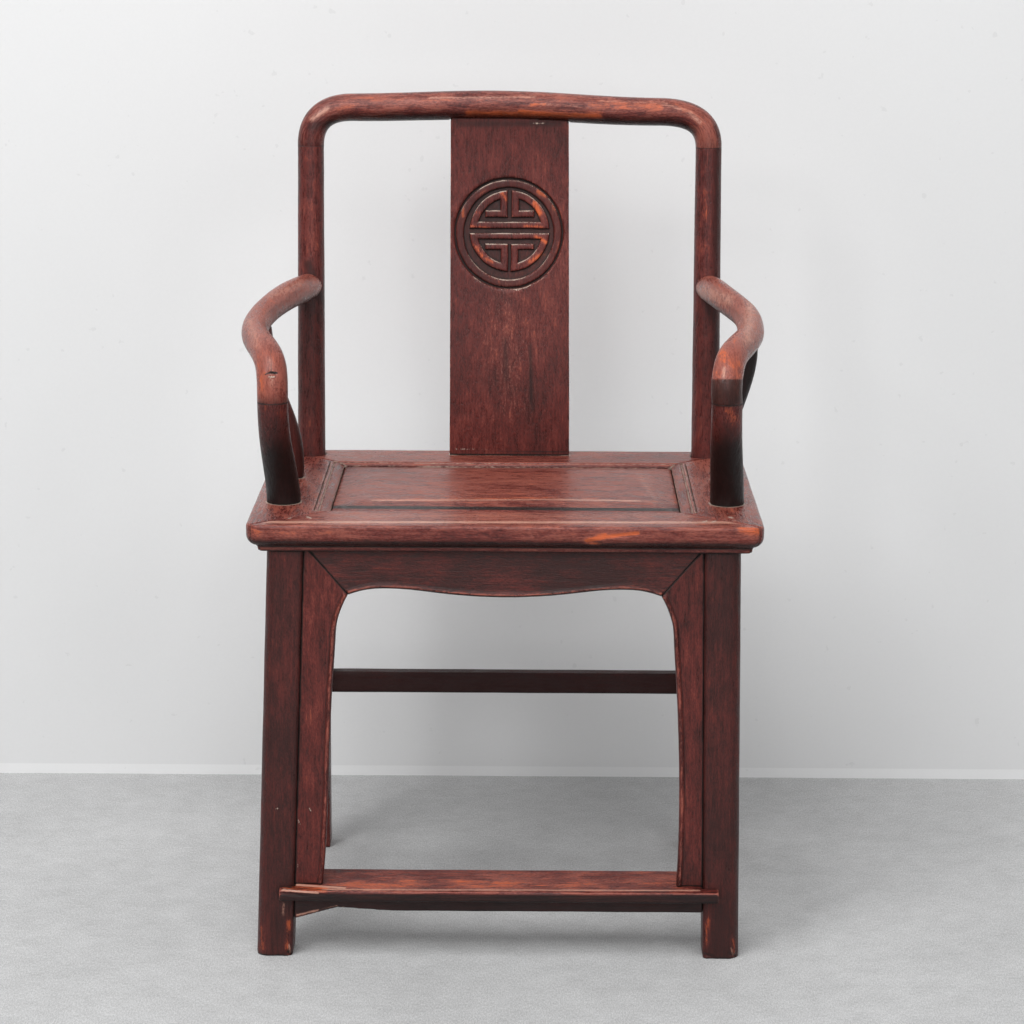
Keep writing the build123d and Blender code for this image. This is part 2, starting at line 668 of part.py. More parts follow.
def splat_board(growth=0.0):
    """Splat board between rail and crest, tapering a little upwards."""
    low_half, high_half = SPLAT_WIDTH_LOW / 2 + growth, SPLAT_WIDTH_HIGH / 2 + growth
    top = splat_front()[-1][1]
    shift = SPLAT_FOOT_SHIFT
    points = [(shift - low_half, SEAT_HEIGHT), (shift + low_half, SEAT_HEIGHT), (high_half, top), (-high_half, top)]
    face = Plane.XZ * make_face(Polyline(*points, close=True))
    return splat_layer(-growth, SPLAT_THICKNESS + 2 * growth) & extrude(face, -SEAT_DEPTH)


def splat_tongue(growth=0.0):
    """Tongue at the foot of the splat."""
    half = SPLAT_WIDTH_LOW / 2 - SPLAT_TONGUE_MARGIN + growth
    middle = splat_front()[0][0] + SPLAT_THICKNESS / 2
    reach = SPLAT_TONGUE_THICKNESS / 2 + growth
    low = SEAT_HEIGHT - SPLAT_TONGUE_LOW - growth
    return block((-half, half), (middle - reach, middle + reach), (low, SEAT_HEIGHT))


def ring(outer, inner):
    """Flat ring."""
    return Circle(outer) - Circle(inner)


def quarter_pocket():
    """Sunk ground of one quarter of the round ornament."""
    bar = ORNAMENT_SLOT / 2 + ORNAMENT_BAR
    post = ORNAMENT_SLOT / 2 + ORNAMENT_POST
    inner = MEDALLION_DISC_RADIUS - ORNAMENT_BAND
    reach = inner + ORNAMENT_BAND
    low = bar + ORNAMENT_SLOT
    ground = Circle(inner) & (Pos(post + reach / 2, bar + reach / 2) * Rectangle(reach, reach))
    gap = Circle(inner) & (Pos(ORNAMENT_SLOT / 2 + reach / 2, (bar + low) / 2) * Rectangle(reach, low - bar))
    stub = Pos((post + ORNAMENT_STUB_REACH) / 2, low + ORNAMENT_STUB_HEIGHT / 2) * Rectangle(
        ORNAMENT_STUB_REACH - post, ORNAMENT_STUB_HEIGHT)
    return ground + gap - stub


def medallion_ground():
    """Everything that the carver sinks round the ornament."""
    ground = ring(MEDALLION_RADIUS + MEDALLION_LINE, MEDALLION_RADIUS)
    ground = ground + ring(MEDALLION_INNER, MEDALLION_DISC_RADIUS)
    reach = 2 * MEDALLION_DISC_RADIUS
    ground = ground + Rectangle(reach, ORNAMENT_SLOT)
    bar = ORNAMENT_SLOT / 2 + ORNAMENT_BAR
    rise = MEDALLION_DISC_RADIUS - bar
    for y_side in SIDES.values():
        ground = ground + Pos(0, y_side * (bar + rise / 2)) * Rectangle(ORNAMENT_SLOT, rise)
    pocket = quarter_pocket()
    across = mirror(pocket, Plane.YZ)
    for quarter in (pocket, across, mirror(pocket, Plane.XZ), mirror(across, Plane.XZ)):
        ground = ground + quarter
    return ground


def back_splat():
    """Curved board with the carved medallion."""
    board = splat_board()
    place = Plane(origin=(0, 0, SEAT_HEIGHT + CREST_RISE - MEDALLION_DROP), x_dir=(1, 0, 0), z_dir=(0, -1, 0))
    prism = extrude(place * medallion_ground(), -SEAT_DEPTH)
    carving = splat_layer(0, CARVING_DEPTH) & prism
    return board - carving + splat_tongue()


# Arms, arm posts and spindles


def arm_body(side):
    """Bowed arm along its centre line."""
    growth = ARM_RADIUS_FRONT - ARM_RADIUS_REAR
    sizes = [(along, ARM_RADIUS_REAR + growth * swell) for along, swell in ARM_RADIUS_SHARES]
    return swept_rod(Spline(*arm_curve(side)), sizes)


def arm_tenon(side, growth=0.0):
    """Round tenon of an arm in the rear post."""
    x, y, z = arm_curve(side)[0]
    front = y - 2 * STILE_RADIUS_LOW
    back = y - STILE_RADIUS_LOW + ARM_TENON_LENGTH + growth
    return Pos(x, (front + back) / 2, z) * Rot(90, 0, 0) * Cylinder(ARM_TENON_RADIUS + growth, back - front)


def arm_end_cut(side):
    """Room below the pipe joint at the front of an arm."""
    x, y, z = arm_curve(side)[-1]
    reach = 2 * ARM_RADIUS_FRONT
    return block((x - reach, x + reach), (y - reach, y + reach), (z - reach, z))


def joint_tenon(side, growth=0.0):
    """Round tenon on top of an arm post."""
    x, y, z, radius = arm_post_curve(side)[-1]
    return upright_peg(x, y, z, ARM_JOINT_TENON_RADIUS + growth, ARM_JOINT_TENON_LENGTH + growth)


def post_foot_tenon(curve, radius, length):
    """Round tenon under a post or spindle."""
    x, y, z, size = curve[0]
    return upright_peg(x, y, z - length, radius, length)


def spindle_head(side, growth=0.0):
    """Round tenon at the head of a spindle."""
    x, y, z, radius = spindle_curve(side)[-1]
    length = ARM_RADIUS_REAR + ARM_RADIUS_FRONT
    return upright_peg(x, y, z - length, SPINDLE_TENON_RADIUS + growth, length + growth)


def arm_pin(side, growth=0.0):
    """Wooden pin through an arm joint."""
    x, y, z = arm_curve(side)[-1]
    level = z + ARM_JOINT_TENON_LENGTH / 2
    length = 2 * ARM_RADIUS_FRONT - 2 * PEG_RADIUS
    return Pos(x, y, level) * Rot(0, 90, 0) * Cylinder(PEG_RADIUS + growth, length + 2 * growth)


def armrest(side, arm):
    """Arm with its coped end, tenon and sockets."""
    coped = arm - stile_body(side, FIT) - arm_end_cut(side)
    piece = coped.solids().sort_by(Axis.Y)[0] + arm_tenon(side)
    return piece - joint_tenon(side, FIT) - spindle_head(side, FIT) - arm_pin(side, FIT)


def arm_post(side):
    """Goose-neck post with a tenon at each end."""
    curve = arm_post_curve(side)
    post = tube(curve) + post_foot_tenon(curve, POST_TENON_RADIUS, POST_TENON_LENGTH)
    return post + joint_tenon(side) - arm_pin(side, FIT)


def side_spindle(side, arm):
    """Bowed spindle with a tenon at each end."""
    curve = spindle_curve(side)
    rod = (tube(curve) - arm).solids().sort_by(Axis.Z)[0]
    return rod + post_foot_tenon(curve, SPINDLE_TENON_RADIUS, SPINDLE_TENON_LENGTH) + spindle_head(side)


# Aprons


def arch_plane():
    """Front plane of the arch boards, leaning with the front legs."""
    front = FRONT_LEG_Y - LEG_WIDTH / 2 + BOARD_RECESS
    slope = Vector(0, FRONT_FOOT_ADVANCE, FRAME_BOTTOM)
    up = slope.normalized()
    base = Vector(0, front - FRONT_FOOT_ADVANCE, 0)
    return Plane(origin=base, x_dir=(1, 0, 0), z_dir=Vector(1, 0, 0).cross(up))


def arch_foot(side):
    """Inner corner of a side board, just below the top of the footrest."""
    return ARCH_CORNER[0] + ARCH_FOOT_SPREAD[side], FOOTREST_LIP_HEIGHT


def arch_limits(side):
    """Side board outline beyond the corner: mitre, leg and foot."""
    corner_x, corner_z = ARCH_CORNER
    rise = FRAME_BOTTOM - corner_z
    mitre_top = (corner_x + rise * ARCH_MITRE_LEAN, FRAME_BOTTOM)
    foot_x = LEG_OFFSET + FRONT_FOOT_SPREAD[side] - LEG_WIDTH / 2
    top_x = LEG_OFFSET + FRONT_TOP_SPREAD[side] - LEG_WIDTH / 2
    foot_z = FOOTREST_LIP_HEIGHT
    return mitre_top, (top_x, FRAME_BOTTOM), (foot_x + (top_x - foot_x) * foot_z / FRAME_BOTTOM, foot_z)


def arch_side_edge(side):
    """Inner edge of a side board from its foot to the mitre."""
    corner_x, corner_z = ARCH_CORNER
    drop = corner_z - FOOTREST_LIP_HEIGHT
    points = [(corner_x + ARCH_SPREAD * out, corner_z - drop * down) for out, down in ARCH_SIDE_SHARES]
    return Spline(arch_foot(side), *reversed(points), ARCH_CORNER)


def arch_top_edge():
    """Lower edge of the top board from end to end."""
    low = FRAME_BOTTOM - ARCH_BOARD_HEIGHT
    right = [(ARCH_CORNER[0] * out, low + ARCH_RISE * rise) for out, rise in ARCH_TOP_SHARES]
    right.append(ARCH_CORNER)
    left = [(-x, z) for x, z in reversed(right[1:])]
    return Spline(*left, *right)


def beaded_board(face, edge):
    """Board behind the arch plane, with a round bead half sunk in it along its shaped edge."""
    plane = arch_plane()
    path = plane * edge
    section = Plane(origin=path @ 0, z_dir=path % 0) * Circle(BEAD_RADIUS)
    bead = sweep(section, path) & extrude(plane * face, 2 * BEAD_RADIUS, both=True)
    return extrude(plane * face, -BOARD_THICKNESS) + bead


def board_tongue(side, growth=0.0):
    """Tongue of a side board in the groove of its leg."""
    (top_x, top_z), (foot_x, foot_z) = arch_limits(side)[1:]
    reach = BOARD_TONGUE_REACH + growth
    low = foot_z - growth
    points = [(top_x - growth, top_z), (top_x + reach, top_z), (foot_x + reach, low), (foot_x - growth, low)]
    face = make_face(Polyline(*points, close=True))
    if side == "left":
        face = mirror(face, Plane.YZ)
    thickness = BOARD_TONGUE_THICKNESS + 2 * growth
    depth = (BOARD_THICKNESS - thickness) / 2
    return extrude(arch_plane().offset(-depth) * face, -thickness)


def arch_top():
    """Top board between the mitres."""
    corner_x, corner_z = ARCH_CORNER
    top_x = arch_limits("left")[0][0]
    outline = Polyline((corner_x, corner_z), (top_x, FRAME_BOTTOM), (-top_x, FRAME_BOTTOM), (-corner_x, corner_z))
    return beaded_board(make_face([arch_top_edge(), outline]), Pos(0, BEAD_RADIUS + BEAD_MARGIN) * arch_top_edge())


def arch_side(side):
    """Side board with a tongue along the leg, standing on the footrest."""
    outline = Polyline(ARCH_CORNER, *arch_limits(side), arch_foot(side))
    face = make_face([arch_side_edge(side), outline])
    edge = Pos(BEAD_RADIUS + BEAD_MARGIN, 0) * arch_side_edge(side)
    if side == "left":
        face, edge = mirror(face, Plane.YZ), mirror(edge, Plane.YZ)
    board = beaded_board(face, edge) + board_tongue(side)
    return (board - footrest_slab()).solids().sort_by(Axis.Z)[-1]


# Plain aprons, stretchers and footrest


def bar(start, end, width, low, high):
    """Level bar between two points, of a width in plan."""
    run = Vector(end[0] - start[0], end[1] - start[1], 0).normalized()
    side = Vector(-run.Y, run.X, 0) * width / 2
    points = [(point[0] + sign * side.X, point[1] + sign * side.Y) for point, sign in
              ((start, 1), (end, 1), (end, -1), (start, -1))]
    return plan_prism(points, low, high)


def shortened(start, end, inset):
    """Two points moved towards each other."""
    run = (Vector(*end) - Vector(*start)).normalized() * inset
    return tuple(Vector(*start) + run), tuple(Vector(*end) - run)


def stretcher_tenon(start, end, level, growth=0.0):
    """Thin bar through a stretcher that ends inside both legs."""
    start, end = shortened(start, end, STRETCHER_TENON_INSET - growth)
    half = STRETCHER_TENON_HEIGHT / 2 + growth
    return bar(start, end, STRETCHER_TENON_WIDTH + 2 * growth, level - half, level + half)


def stretcher_ends(name):
    """Leg centres that a stretcher joins, and its level."""
    if name == "rear":
        level = REAR_STRETCHER_LEVEL
        return leg_point("rear", "left", level), leg_point("rear", "right", level), level
    level = SIDE_STRETCHER_LEVEL
    return leg_point("front", name, level), leg_point("rear", name, level), level


def stretcher(name, spaces):
    """Stretcher with shoulders at the legs."""
    start, end, level = stretcher_ends(name)
    half = STRETCHER_HEIGHT / 2
    body = bar(start, end, STRETCHER_WIDTH, level - half, level + half) - spaces
    return body.solids().sort_by(SortBy.VOLUME)[-1] + stretcher_tenon(start, end, level)


def apron_outline(length):
    """Low apron that drops at both ends."""
    half = length / 2
    step = half - APRON_END_LENGTH
    top = FRAME_BOTTOM
    low = top - APRON_HEIGHT
    end = low - APRON_END_DROP
    along, down = APRON_BEND_SHARES
    middle_x, middle_z = step + APRON_END_LENGTH * along, low - APRON_END_DROP * down
    bend = ThreePointArc((step, low), (middle_x, middle_z), (half, end))
    other = ThreePointArc((-half, end), (-middle_x, middle_z), (-step, low))
    return make_face([bend, Polyline((half, end), (half, top), (-half, top), (-half, end)), other,
                      Line((-step, low), (step, low))])


def plain_apron(name, spaces):
    """Apron under a side or rear rail, cut to the legs."""
    if name == "rear":
        start, end = leg_point("rear", "left", FRAME_BOTTOM), leg_point("rear", "right", FRAME_BOTTOM)
        length = end[0] - start[0] - LEG_WIDTH
        y = REAR_LEG_Y + LEG_WIDTH / 2 - APRON_RECESS
        face = Pos(0, y, 0) * (Plane.XZ * apron_outline(length))
        return extrude(face, APRON_THICKNESS) - spaces
    sign = SIDES[name]
    length = REAR_LEG_Y - FRONT_LEG_Y - LEG_WIDTH
    x = sign * (LEG_OFFSET + LEG_WIDTH / 2 - APRON_RECESS)
    face = Pos(x, (REAR_LEG_Y + FRONT_LEG_Y) / 2, 0) * (Plane.YZ * apron_outline(length))
    return extrude(face, -sign * APRON_THICKNESS) - spaces


def footrest_section():
    """Slab section, worn down towards the front."""
    front = leg_point("front", "left", FOOTREST_BOTTOM)[1] - LEG_WIDTH / 2 - FOOTREST_OVERHANG
    back = front + FOOTREST_DEPTH
    points = [(front, FOOTREST_BOTTOM), (back, FOOTREST_BOTTOM),
              (back, FOOTREST_BOTTOM + FOOTREST_THICKNESS_BACK), (front, FOOTREST_LIP_HEIGHT)]
    section = make_face(Polyline(*points, close=True))
    front = section.vertices().group_by(Axis.X)[0]
    return Plane.YZ * fillet(front, FOOTREST_EDGE_ROUND)


def footrest_tenon(growth=0.0):
    """Flat bar through the footrest that ends inside both front legs."""
    middle = (FOOTREST_BOTTOM + FOOTREST_LIP_HEIGHT) / 2
    half = FOOTREST_TENON_HEIGHT / 2 + growth
    ends = [leg_point("front", side, middle) for side in SIDES]
    reach = LEG_WIDTH / 2 - FOOTREST_TENON_REACH - growth
    return bar(*shortened(*ends, reach), FOOTREST_TENON_WIDTH + 2 * growth, middle - half, middle + half)


def footrest_slab():
    """Footrest before it is cut to the legs."""
    left, right = [leg_point("front", side, FOOTREST_BOTTOM)[0] - SIDES[side] * FOOTREST_END_INSET[side]
                   for side in SIDES]
    return extrude(Pos(left, 0, 0) * footrest_section(), right - left)


def footrest(spaces):
    """Footrest that wraps round the fronts of the legs."""
    slab = footrest_slab()
    for side in SIDES:
        centre_x, centre_y, level = leg_point("front", side, FOOTREST_BOTTOM)
        x_range = sorted((centre_x - SIDES[side] * LEG_WIDTH / 2, SIDES[side] * SEAT_WIDTH / 2))
        slab = slab - block(x_range, (centre_y, centre_y + FOOTREST_DEPTH), (0, FRAME_BOTTOM))
    slab = slab - spaces
    return slab.solids().sort_by(SortBy.VOLUME)[-1] + footrest_tenon()


def footrest_apron(spaces):
    """Narrow board under the footrest, broken at its left end."""
    top = FOOTREST_BOTTOM
    low = top - FOOT_APRON_HEIGHT
    x = LEG_OFFSET
    broken = -x + FOOT_APRON_BROKEN_LENGTH + LEG_WIDTH / 2
    points = [(-x, top), (-x, low - FOOT_APRON_BROKEN_DROP), (broken, low + FOOT_APRON_BROKEN_RISE),
              (broken + FOOT_APRON_BROKEN_TAPER, low), (x, low), (x, top)]
    face = Plane.XZ * make_face(Polyline(*points, close=True))
    front = FRONT_LEG_Y - FRONT_FOOT_ADVANCE - LEG_WIDTH / 2 + BOARD_RECESS
    piece = extrude(Pos(0, front, 0) * face, -FOOT_APRON_THICKNESS) - spaces
    return piece.solids().sort_by(SortBy.VOLUME)[-1]


# Assembly


def leg_with_mortises(row, side):
    """Leg or post with the mortises of everything that joins it."""
    piece = front_leg(side) if row == "front" else rear_post(side)
    names = [side] if row == "front" else [side, "rear"]
    cutters = [stretcher_tenon(*stretcher_ends(name), FIT) for name in names]
    if row == "front":
        cutters.append(footrest_tenon(FIT))
        cutters.append(board_tongue(side, FIT))
    else:
        cutters.append(arm_tenon(side, FIT))
        cutters.append(crest_pin(side, FIT))
    return piece - cutters


def build():
    """All pieces by node name, with their final joints."""
    rows = ("front", "rear")
    spaces = [leg_space(row, side) for row in rows for side in SIDES]
    fronts = [leg_space("front", side) for side in SIDES]
    parts = {}
    for side in SIDES:
        arm = arm_body(side)
        parts["front_leg_" + side] = leg_with_mortises("front", side)
        parts["rear_post_" + side] = leg_with_mortises("rear", side)
        parts["armrest_" + side] = armrest(side, arm)
        parts["arm_post_" + side] = arm_post(side)
        parts["side_spindle_" + side] = side_spindle(side, arm)
        parts["seat_batten_" + side] = seat_batten(side)
        parts["front_apron_" + side] = arch_side(side)
        parts["side_apron_" + side] = plain_apron(side, spaces)
        parts["side_stretcher_" + side] = stretcher(side, spaces)
    for name, rail in seat_rails().items():
        parts["seat_rail_" + name] = rail
    for name in ("left", "right", "rear"):
        parts["seat_strip_" + name] = seat_strip(name)
    parts["seat_panel"] = seat_panel()
    parts["seat_wedges"] = seat_wedges()
    parts["crest_rail"] = crest_rail()
    parts["crest_pegs"] = joined([crest_pin(side) for side in SIDES])
    parts["arm_pegs"] = joined([arm_pin(side) for side in SIDES])
    parts["back_splat"] = back_splat()
    parts["front_apron_top"] = arch_top()
    parts["rear_apron"] = plain_apron("rear", spaces)
    parts["rear_stretcher"] = stretcher("rear", spaces)
    parts["footrest"] = footrest(fronts)
    parts["footrest_apron"] = footrest_apron(fronts)
    return parts


def origin_shift(bodies):
    """Move that puts the whole chair's footprint centre on the origin, standing on the floor."""
    boxes = [body.bounding_box() for body in bodies]
    low = [min(getattr(box.min, axis) for box in boxes) for axis in "XYZ"]
    high = [max(getattr(box.max, axis) for box in boxes) for axis in "XYZ"]
    return Location((-(low[0] + high[0]) / 2, -(low[1] + high[1]) / 2, -low[2]))


if __name__ == "__main__":
    os.makedirs("parts", exist_ok=True)
    parts = build()
    origin = origin_shift(parts.values())
    for name, part in parts.items():
        export_step(part.moved(origin), "parts/" + name + ".step")
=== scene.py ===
import math
from functools import lru_cache
from types import SimpleNamespace

import bmesh
import bpy
import numpy as np
from mathutils import Matrix, Vector, noise
from mathutils.bvhtree import BVHTree


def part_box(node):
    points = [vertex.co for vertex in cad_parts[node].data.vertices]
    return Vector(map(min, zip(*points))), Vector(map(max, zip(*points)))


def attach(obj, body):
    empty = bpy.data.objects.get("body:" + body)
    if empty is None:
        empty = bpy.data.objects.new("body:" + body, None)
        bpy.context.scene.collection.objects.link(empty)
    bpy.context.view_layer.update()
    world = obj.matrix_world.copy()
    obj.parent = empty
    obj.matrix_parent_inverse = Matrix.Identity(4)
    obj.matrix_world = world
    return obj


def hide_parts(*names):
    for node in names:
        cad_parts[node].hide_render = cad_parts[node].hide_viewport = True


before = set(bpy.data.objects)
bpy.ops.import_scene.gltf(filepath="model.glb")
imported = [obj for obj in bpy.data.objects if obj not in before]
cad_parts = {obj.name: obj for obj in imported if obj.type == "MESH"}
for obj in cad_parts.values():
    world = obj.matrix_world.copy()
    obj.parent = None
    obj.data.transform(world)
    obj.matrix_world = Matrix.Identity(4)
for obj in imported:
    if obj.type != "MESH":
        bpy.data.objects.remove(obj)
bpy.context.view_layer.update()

bl_info = {
    "name": "Worn lacquer armchair",
    "version": (1, 0, 0),
    "blender": (4, 5, 0),
    "location": "3D View > Sidebar > Armchair",
    "description": "Dresses the solids of a Ming style armchair with worn lacquered wood",
    "category": "Add Mesh",
}

MM = 0.001
# From the chair's own middle, half way across the seat, to the middle of its whole footprint
CHAIR_SHIFT = Vector((4.51545, -12.23309, 0.0))

# Camera of the picture: place in chair millimetres, downward, sideways and rolling angles, lens in pixels
CAMERA_PLACE = Vector((30.525, -3531.277, 1226.355))
CAMERA_TURN = (12.099, -0.393, 0.249)
FOCAL_PIXELS = 3100.0
PICTURE_PIXELS = 1024.0


def camera_axes():
    """Directions across, up and ahead of the camera."""
    pitch, yaw, roll = (math.radians(angle) for angle in CAMERA_TURN)
    ahead = Vector((math.sin(yaw) * math.cos(pitch), math.cos(yaw) * math.cos(pitch), -math.sin(pitch)))
    level = Vector((math.cos(yaw), -math.sin(yaw), 0.0))
    upright = level.cross(ahead)
    across = level * math.cos(roll) + upright * math.sin(roll)
    rising = upright * math.cos(roll) - level * math.sin(roll)
    return across, rising, ahead


def seen(places):
    """Column and row of the picture at which each place is seen."""
    away = places / MM - np.array(CHAIR_SHIFT) - np.array(CAMERA_PLACE)
    across, rising, ahead = (away @ np.array(axis) for axis in camera_axes())
    half = PICTURE_PIXELS / 2
    return np.stack([half + FOCAL_PIXELS * across / ahead, half - FOCAL_PIXELS * rising / ahead], axis=1)


# Material maths


class Signal:
    """Output of a material node, with sums and products that add Math nodes."""

    def __init__(self, tree, socket):
        self.tree = tree
        self.socket = socket

    def node(self, kind, inputs=None, output=0, **settings):
        """Add a node: its settings first, then the values or links of its sockets."""
        made = self.tree.nodes.new(kind)
        for key, value in settings.items():
            setattr(made, key, value)
        for key, value in (inputs or {}).items():
            if isinstance(value, Signal):
                self.tree.links.new(value.socket, made.inputs[key])
            else:
                made.inputs[key].default_value = value
        return Signal(self.tree, made.outputs[output])

    def maths(self, operation, *values):
        """Result of one Math node."""
        return self.node("ShaderNodeMath", dict(enumerate(values)), operation=operation)

    def __add__(self, other):
        return self.maths("ADD", self, other)

    def __sub__(self, other):
        return self.maths("SUBTRACT", self, other)

    def __rsub__(self, other):
        return self.maths("SUBTRACT", other, self)

    def __mul__(self, other):
        return self.maths("MULTIPLY", self, other)

    __radd__ = __add__
    __rmul__ = __mul__

    def between(self, low, high):
        """Smooth mask that rises from 0 at low to 1 at high."""
        inputs = {"Value": self, "From Min": low, "From Max": high}
        return self.node("ShaderNodeMapRange", inputs, interpolation_type="SMOOTHSTEP")

    def over(self, top, mask):
        """This colour with another laid over it where the mask says."""
        inputs = {"Factor": mask, 6: self, 7: top}
        return self.node("ShaderNodeMix", inputs, output=2, data_type="RGBA")

    def tinted(self, top, mask):
        """This colour multiplied by another where the mask says."""
        inputs = {"Factor": mask, 6: self, 7: top}
        return self.node("ShaderNodeMix", inputs, output=2, data_type="RGBA", blend_type="MULTIPLY")

    def scaled(self, factors):
        """This vector stretched along each axis."""
        return self.node("ShaderNodeVectorMath", {0: self, 1: factors}, operation="MULTIPLY")

    def moved(self, offset):
        """This vector with another added."""
        return self.node("ShaderNodeVectorMath", {0: self, 1: offset}, operation="ADD")

    def noise(self, scale, detail=3.0, roughness=0.5, distortion=0.0):
        """Cloudy pattern at this vector."""
        inputs = {"Vector": self, "Scale": scale, "Detail": detail, "Roughness": roughness,
                  "Distortion": distortion}
        return self.node("ShaderNodeTexNoise", inputs)


def new_material(name):
    """Empty material with its shader and a signal for the object's own coordinates."""
    material = bpy.data.materials.new(name)
    material.use_nodes = True
    tree = material.node_tree
    shader = tree.nodes["Principled BSDF"]
    start = Signal(tree, None)
    place = start.node("ShaderNodeTexCoord", output="Object")
    return material, shader, place


def feed(shader, name, signal):
    """Link a signal to one of the shader's sockets."""
    signal.tree.links.new(signal.socket, shader.inputs[name])


def bumped(shader, height, strength, distance):
    """Raise the surface by a height signal."""
    inputs = {"Height": height, "Strength": strength, "Distance": distance}
    feed(shader, "Normal", height.node("ShaderNodeBump", inputs))


# Settings


class ChairSizes(bpy.types.PropertyGroup):
    """Sizes of the worn wood."""

    voxel: bpy.props.FloatProperty(
        name="Fineness", description="Cell size of the worn meshes", default=1.35 * MM, unit="LENGTH")
    dents: bpy.props.FloatProperty(
        name="Unevenness", description="Depth of the hand-worn waves", default=0.22 * MM, unit="LENGTH")
    wave: bpy.props.FloatProperty(
        name="Wave length", description="Length of the hand-worn waves", default=55 * MM, unit="LENGTH")
    carving: bpy.props.FloatProperty(
        name="Carving depth", description="Depth of the carved ground", default=2.8 * MM, unit="LENGTH")


def colour_property(name, description, default):
    """Colour setting without alpha."""
    return bpy.props.FloatVectorProperty(name=name, description=description, default=default,
                                         subtype="COLOR", size=3, min=0.0, max=1.0)


class ChairColours(bpy.types.PropertyGroup):
    """Colours of the lacquer and of what shows through it."""

    deep: colour_property("Deep lacquer", "Darkest lacquer", (0.034, 0.0068, 0.0056))
    red: colour_property("Red lacquer", "Main red-brown lacquer", (0.128, 0.0185, 0.0140))
    # Rubbed lacquer also shows where tops are made lighter as painted light
    rubbed: colour_property("Rubbed lacquer", "Lacquer thinned by hands", (0.318, 0.088, 0.060))
    glow: colour_property("Orange wear", "Undercoat at the most worn places", (0.600, 0.115, 0.031))
    bare: colour_property("Bare wood", "Wood at chips and splinters", (0.62, 0.34, 0.19))
    # Grime also paints the shade in hollows and the shadow under the crest rail
    grime_and_shade: colour_property("Grime", "Dirt in corners and cracks", (0.010, 0.008, 0.007))
    # Thin lacquer also paints highlights on lit bends, arrises and the splat's middle
    thin: colour_property("Thin lacquer", "Pale wood tone where lacquer is worn thin", (0.52, 0.26, 0.19))
    # Dust also paints the glints on the medallion's lit edges
    dust: colour_property("Dust", "Pale dust and filler in gaps", (0.50, 0.38, 0.31))


# Finish of each kind of piece: lightness, contrast of its grain, wear of edges, painted shade on undersides,
# roughness and strength of cracks
FINISHES = {
    "leg": dict(level=0.21, contrast=0.65, edge=0.30, under=0.8, rough=0.40, cracks=0.7),
    "board": dict(level=0.37, contrast=0.8, edge=0.45, under=0.8, rough=0.38, cracks=0.7),
    # The lintel is the board's lacquer made darker, as painted shade under the seat's nose
    "lintel": dict(level=0.20, contrast=0.8, edge=0.55, under=0.8, rough=0.40, cracks=0.7),
    "hidden": dict(level=0.0, contrast=0.6, edge=0.10, under=0.8, rough=0.60, cracks=0.7),
    "post": dict(level=0.36, contrast=0.9, edge=0.20, under=0.8, rough=0.32, cracks=0.5),
    "crest": dict(level=0.66, contrast=1.3, edge=0.20, under=1.0, rough=0.22, cracks=0.4, bent=True),
    "arm": dict(level=0.86, contrast=0.9, edge=0.20, under=0.8, rough=0.29, cracks=0.0),
    "splat": dict(level=0.44, contrast=0.7, edge=0.35, under=0.8, rough=0.34, cracks=0.5),
    "rail": dict(level=0.66, contrast=1.05, edge=0.45, under=1.3, rough=0.27, cracks=0.0),
    "panel": dict(level=0.66, contrast=1.4, edge=0.50, under=0.8, rough=0.28, cracks=0.0),
    "strip": dict(level=0.66, contrast=1.1, edge=0.80, under=0.8, rough=0.32, cracks=0.0, dusty=0.6),
    "foot": dict(level=0.50, contrast=1.3, edge=0.60, under=1.1, rough=0.40, cracks=0.5),
}
# Stretch along the grain of thin lines and of smears, in straight and in bowed pieces
STRAIGHT_STRETCH, BOWED_STRETCH = (0.07, 0.35), (0.22, 0.45)
# Step in metres from one piece's patterns to the next piece's
PATTERN_STEP = (0.37, 0.21, 0.53)
# Tints that multiply the lacquer: pores, painted shade on undersides, and stains with painted shade
PORE_TINT = (0.36, 0.34, 0.34, 1.0)
UNDERSIDE_SHADE_TINT = (0.16, 0.15, 0.15, 1.0)
STAIN_AND_SHADE_TINT = (0.12, 0.11, 0.105, 1.0)
# Reach of the painted shade in hollows, share of grime and painted shade in a plain and in a dusty hollow,
# height of the bumps
HOLLOW_REACH = 9 * MM
PLAIN_SHADE_AND_GRIME, DUSTY_SHADE_AND_GRIME = 0.90, 0.45
BUMP_HEIGHT, BUMP_STRENGTH = 0.42 * MM, 0.8


def setting_names(group):
    """Names of a group's own settings."""
    return [name for name in group.bl_rna.properties.keys() if name not in ("rna_type", "name")]


def palette():
    """Colour settings as socket values."""
    colours = bpy.context.scene.chair_colours
    return SimpleNamespace(**{name: (*getattr(colours, name), 1.0) for name in setting_names(colours)})


def blend(look, **weights):
    """Sum of several patterns and masks of a look, each times its weight."""
    first, *others = (getattr(look, name) * weight for name, weight in weights.items())
    return sum(others, first)


def wood_patterns(lay, axis, seed):
    """Patterns of the wood: thin lines and bands of grain, grit, mottle, patches and clouds."""
    cloudy = lay.moved([step * seed for step in PATTERN_STEP])
    stretch = BOWED_STRETCH if len(axis) > 1 else STRAIGHT_STRETCH
    grain, smear = (cloudy.scaled([share if name in axis else 1.0 for name in "xyz"]) for share in stretch)
    return dict(lines=grain.noise(420.0, 4.0, 0.7).between(0.3, 0.7),
                bands=grain.noise(60.0, 2.0, 0.5),
                grit=smear.noise(800.0, 3.0, 0.75).between(0.33, 0.67),
                mottle=smear.noise(120.0, 5.0, 0.72, 0.4).between(0.34, 0.66),
                patches=smear.noise(34.0, 3.0, 0.6, 0.3).between(0.32, 0.68),
                clouds=cloudy.noise(9.0, 3.0, 0.5).between(0.3, 0.7))


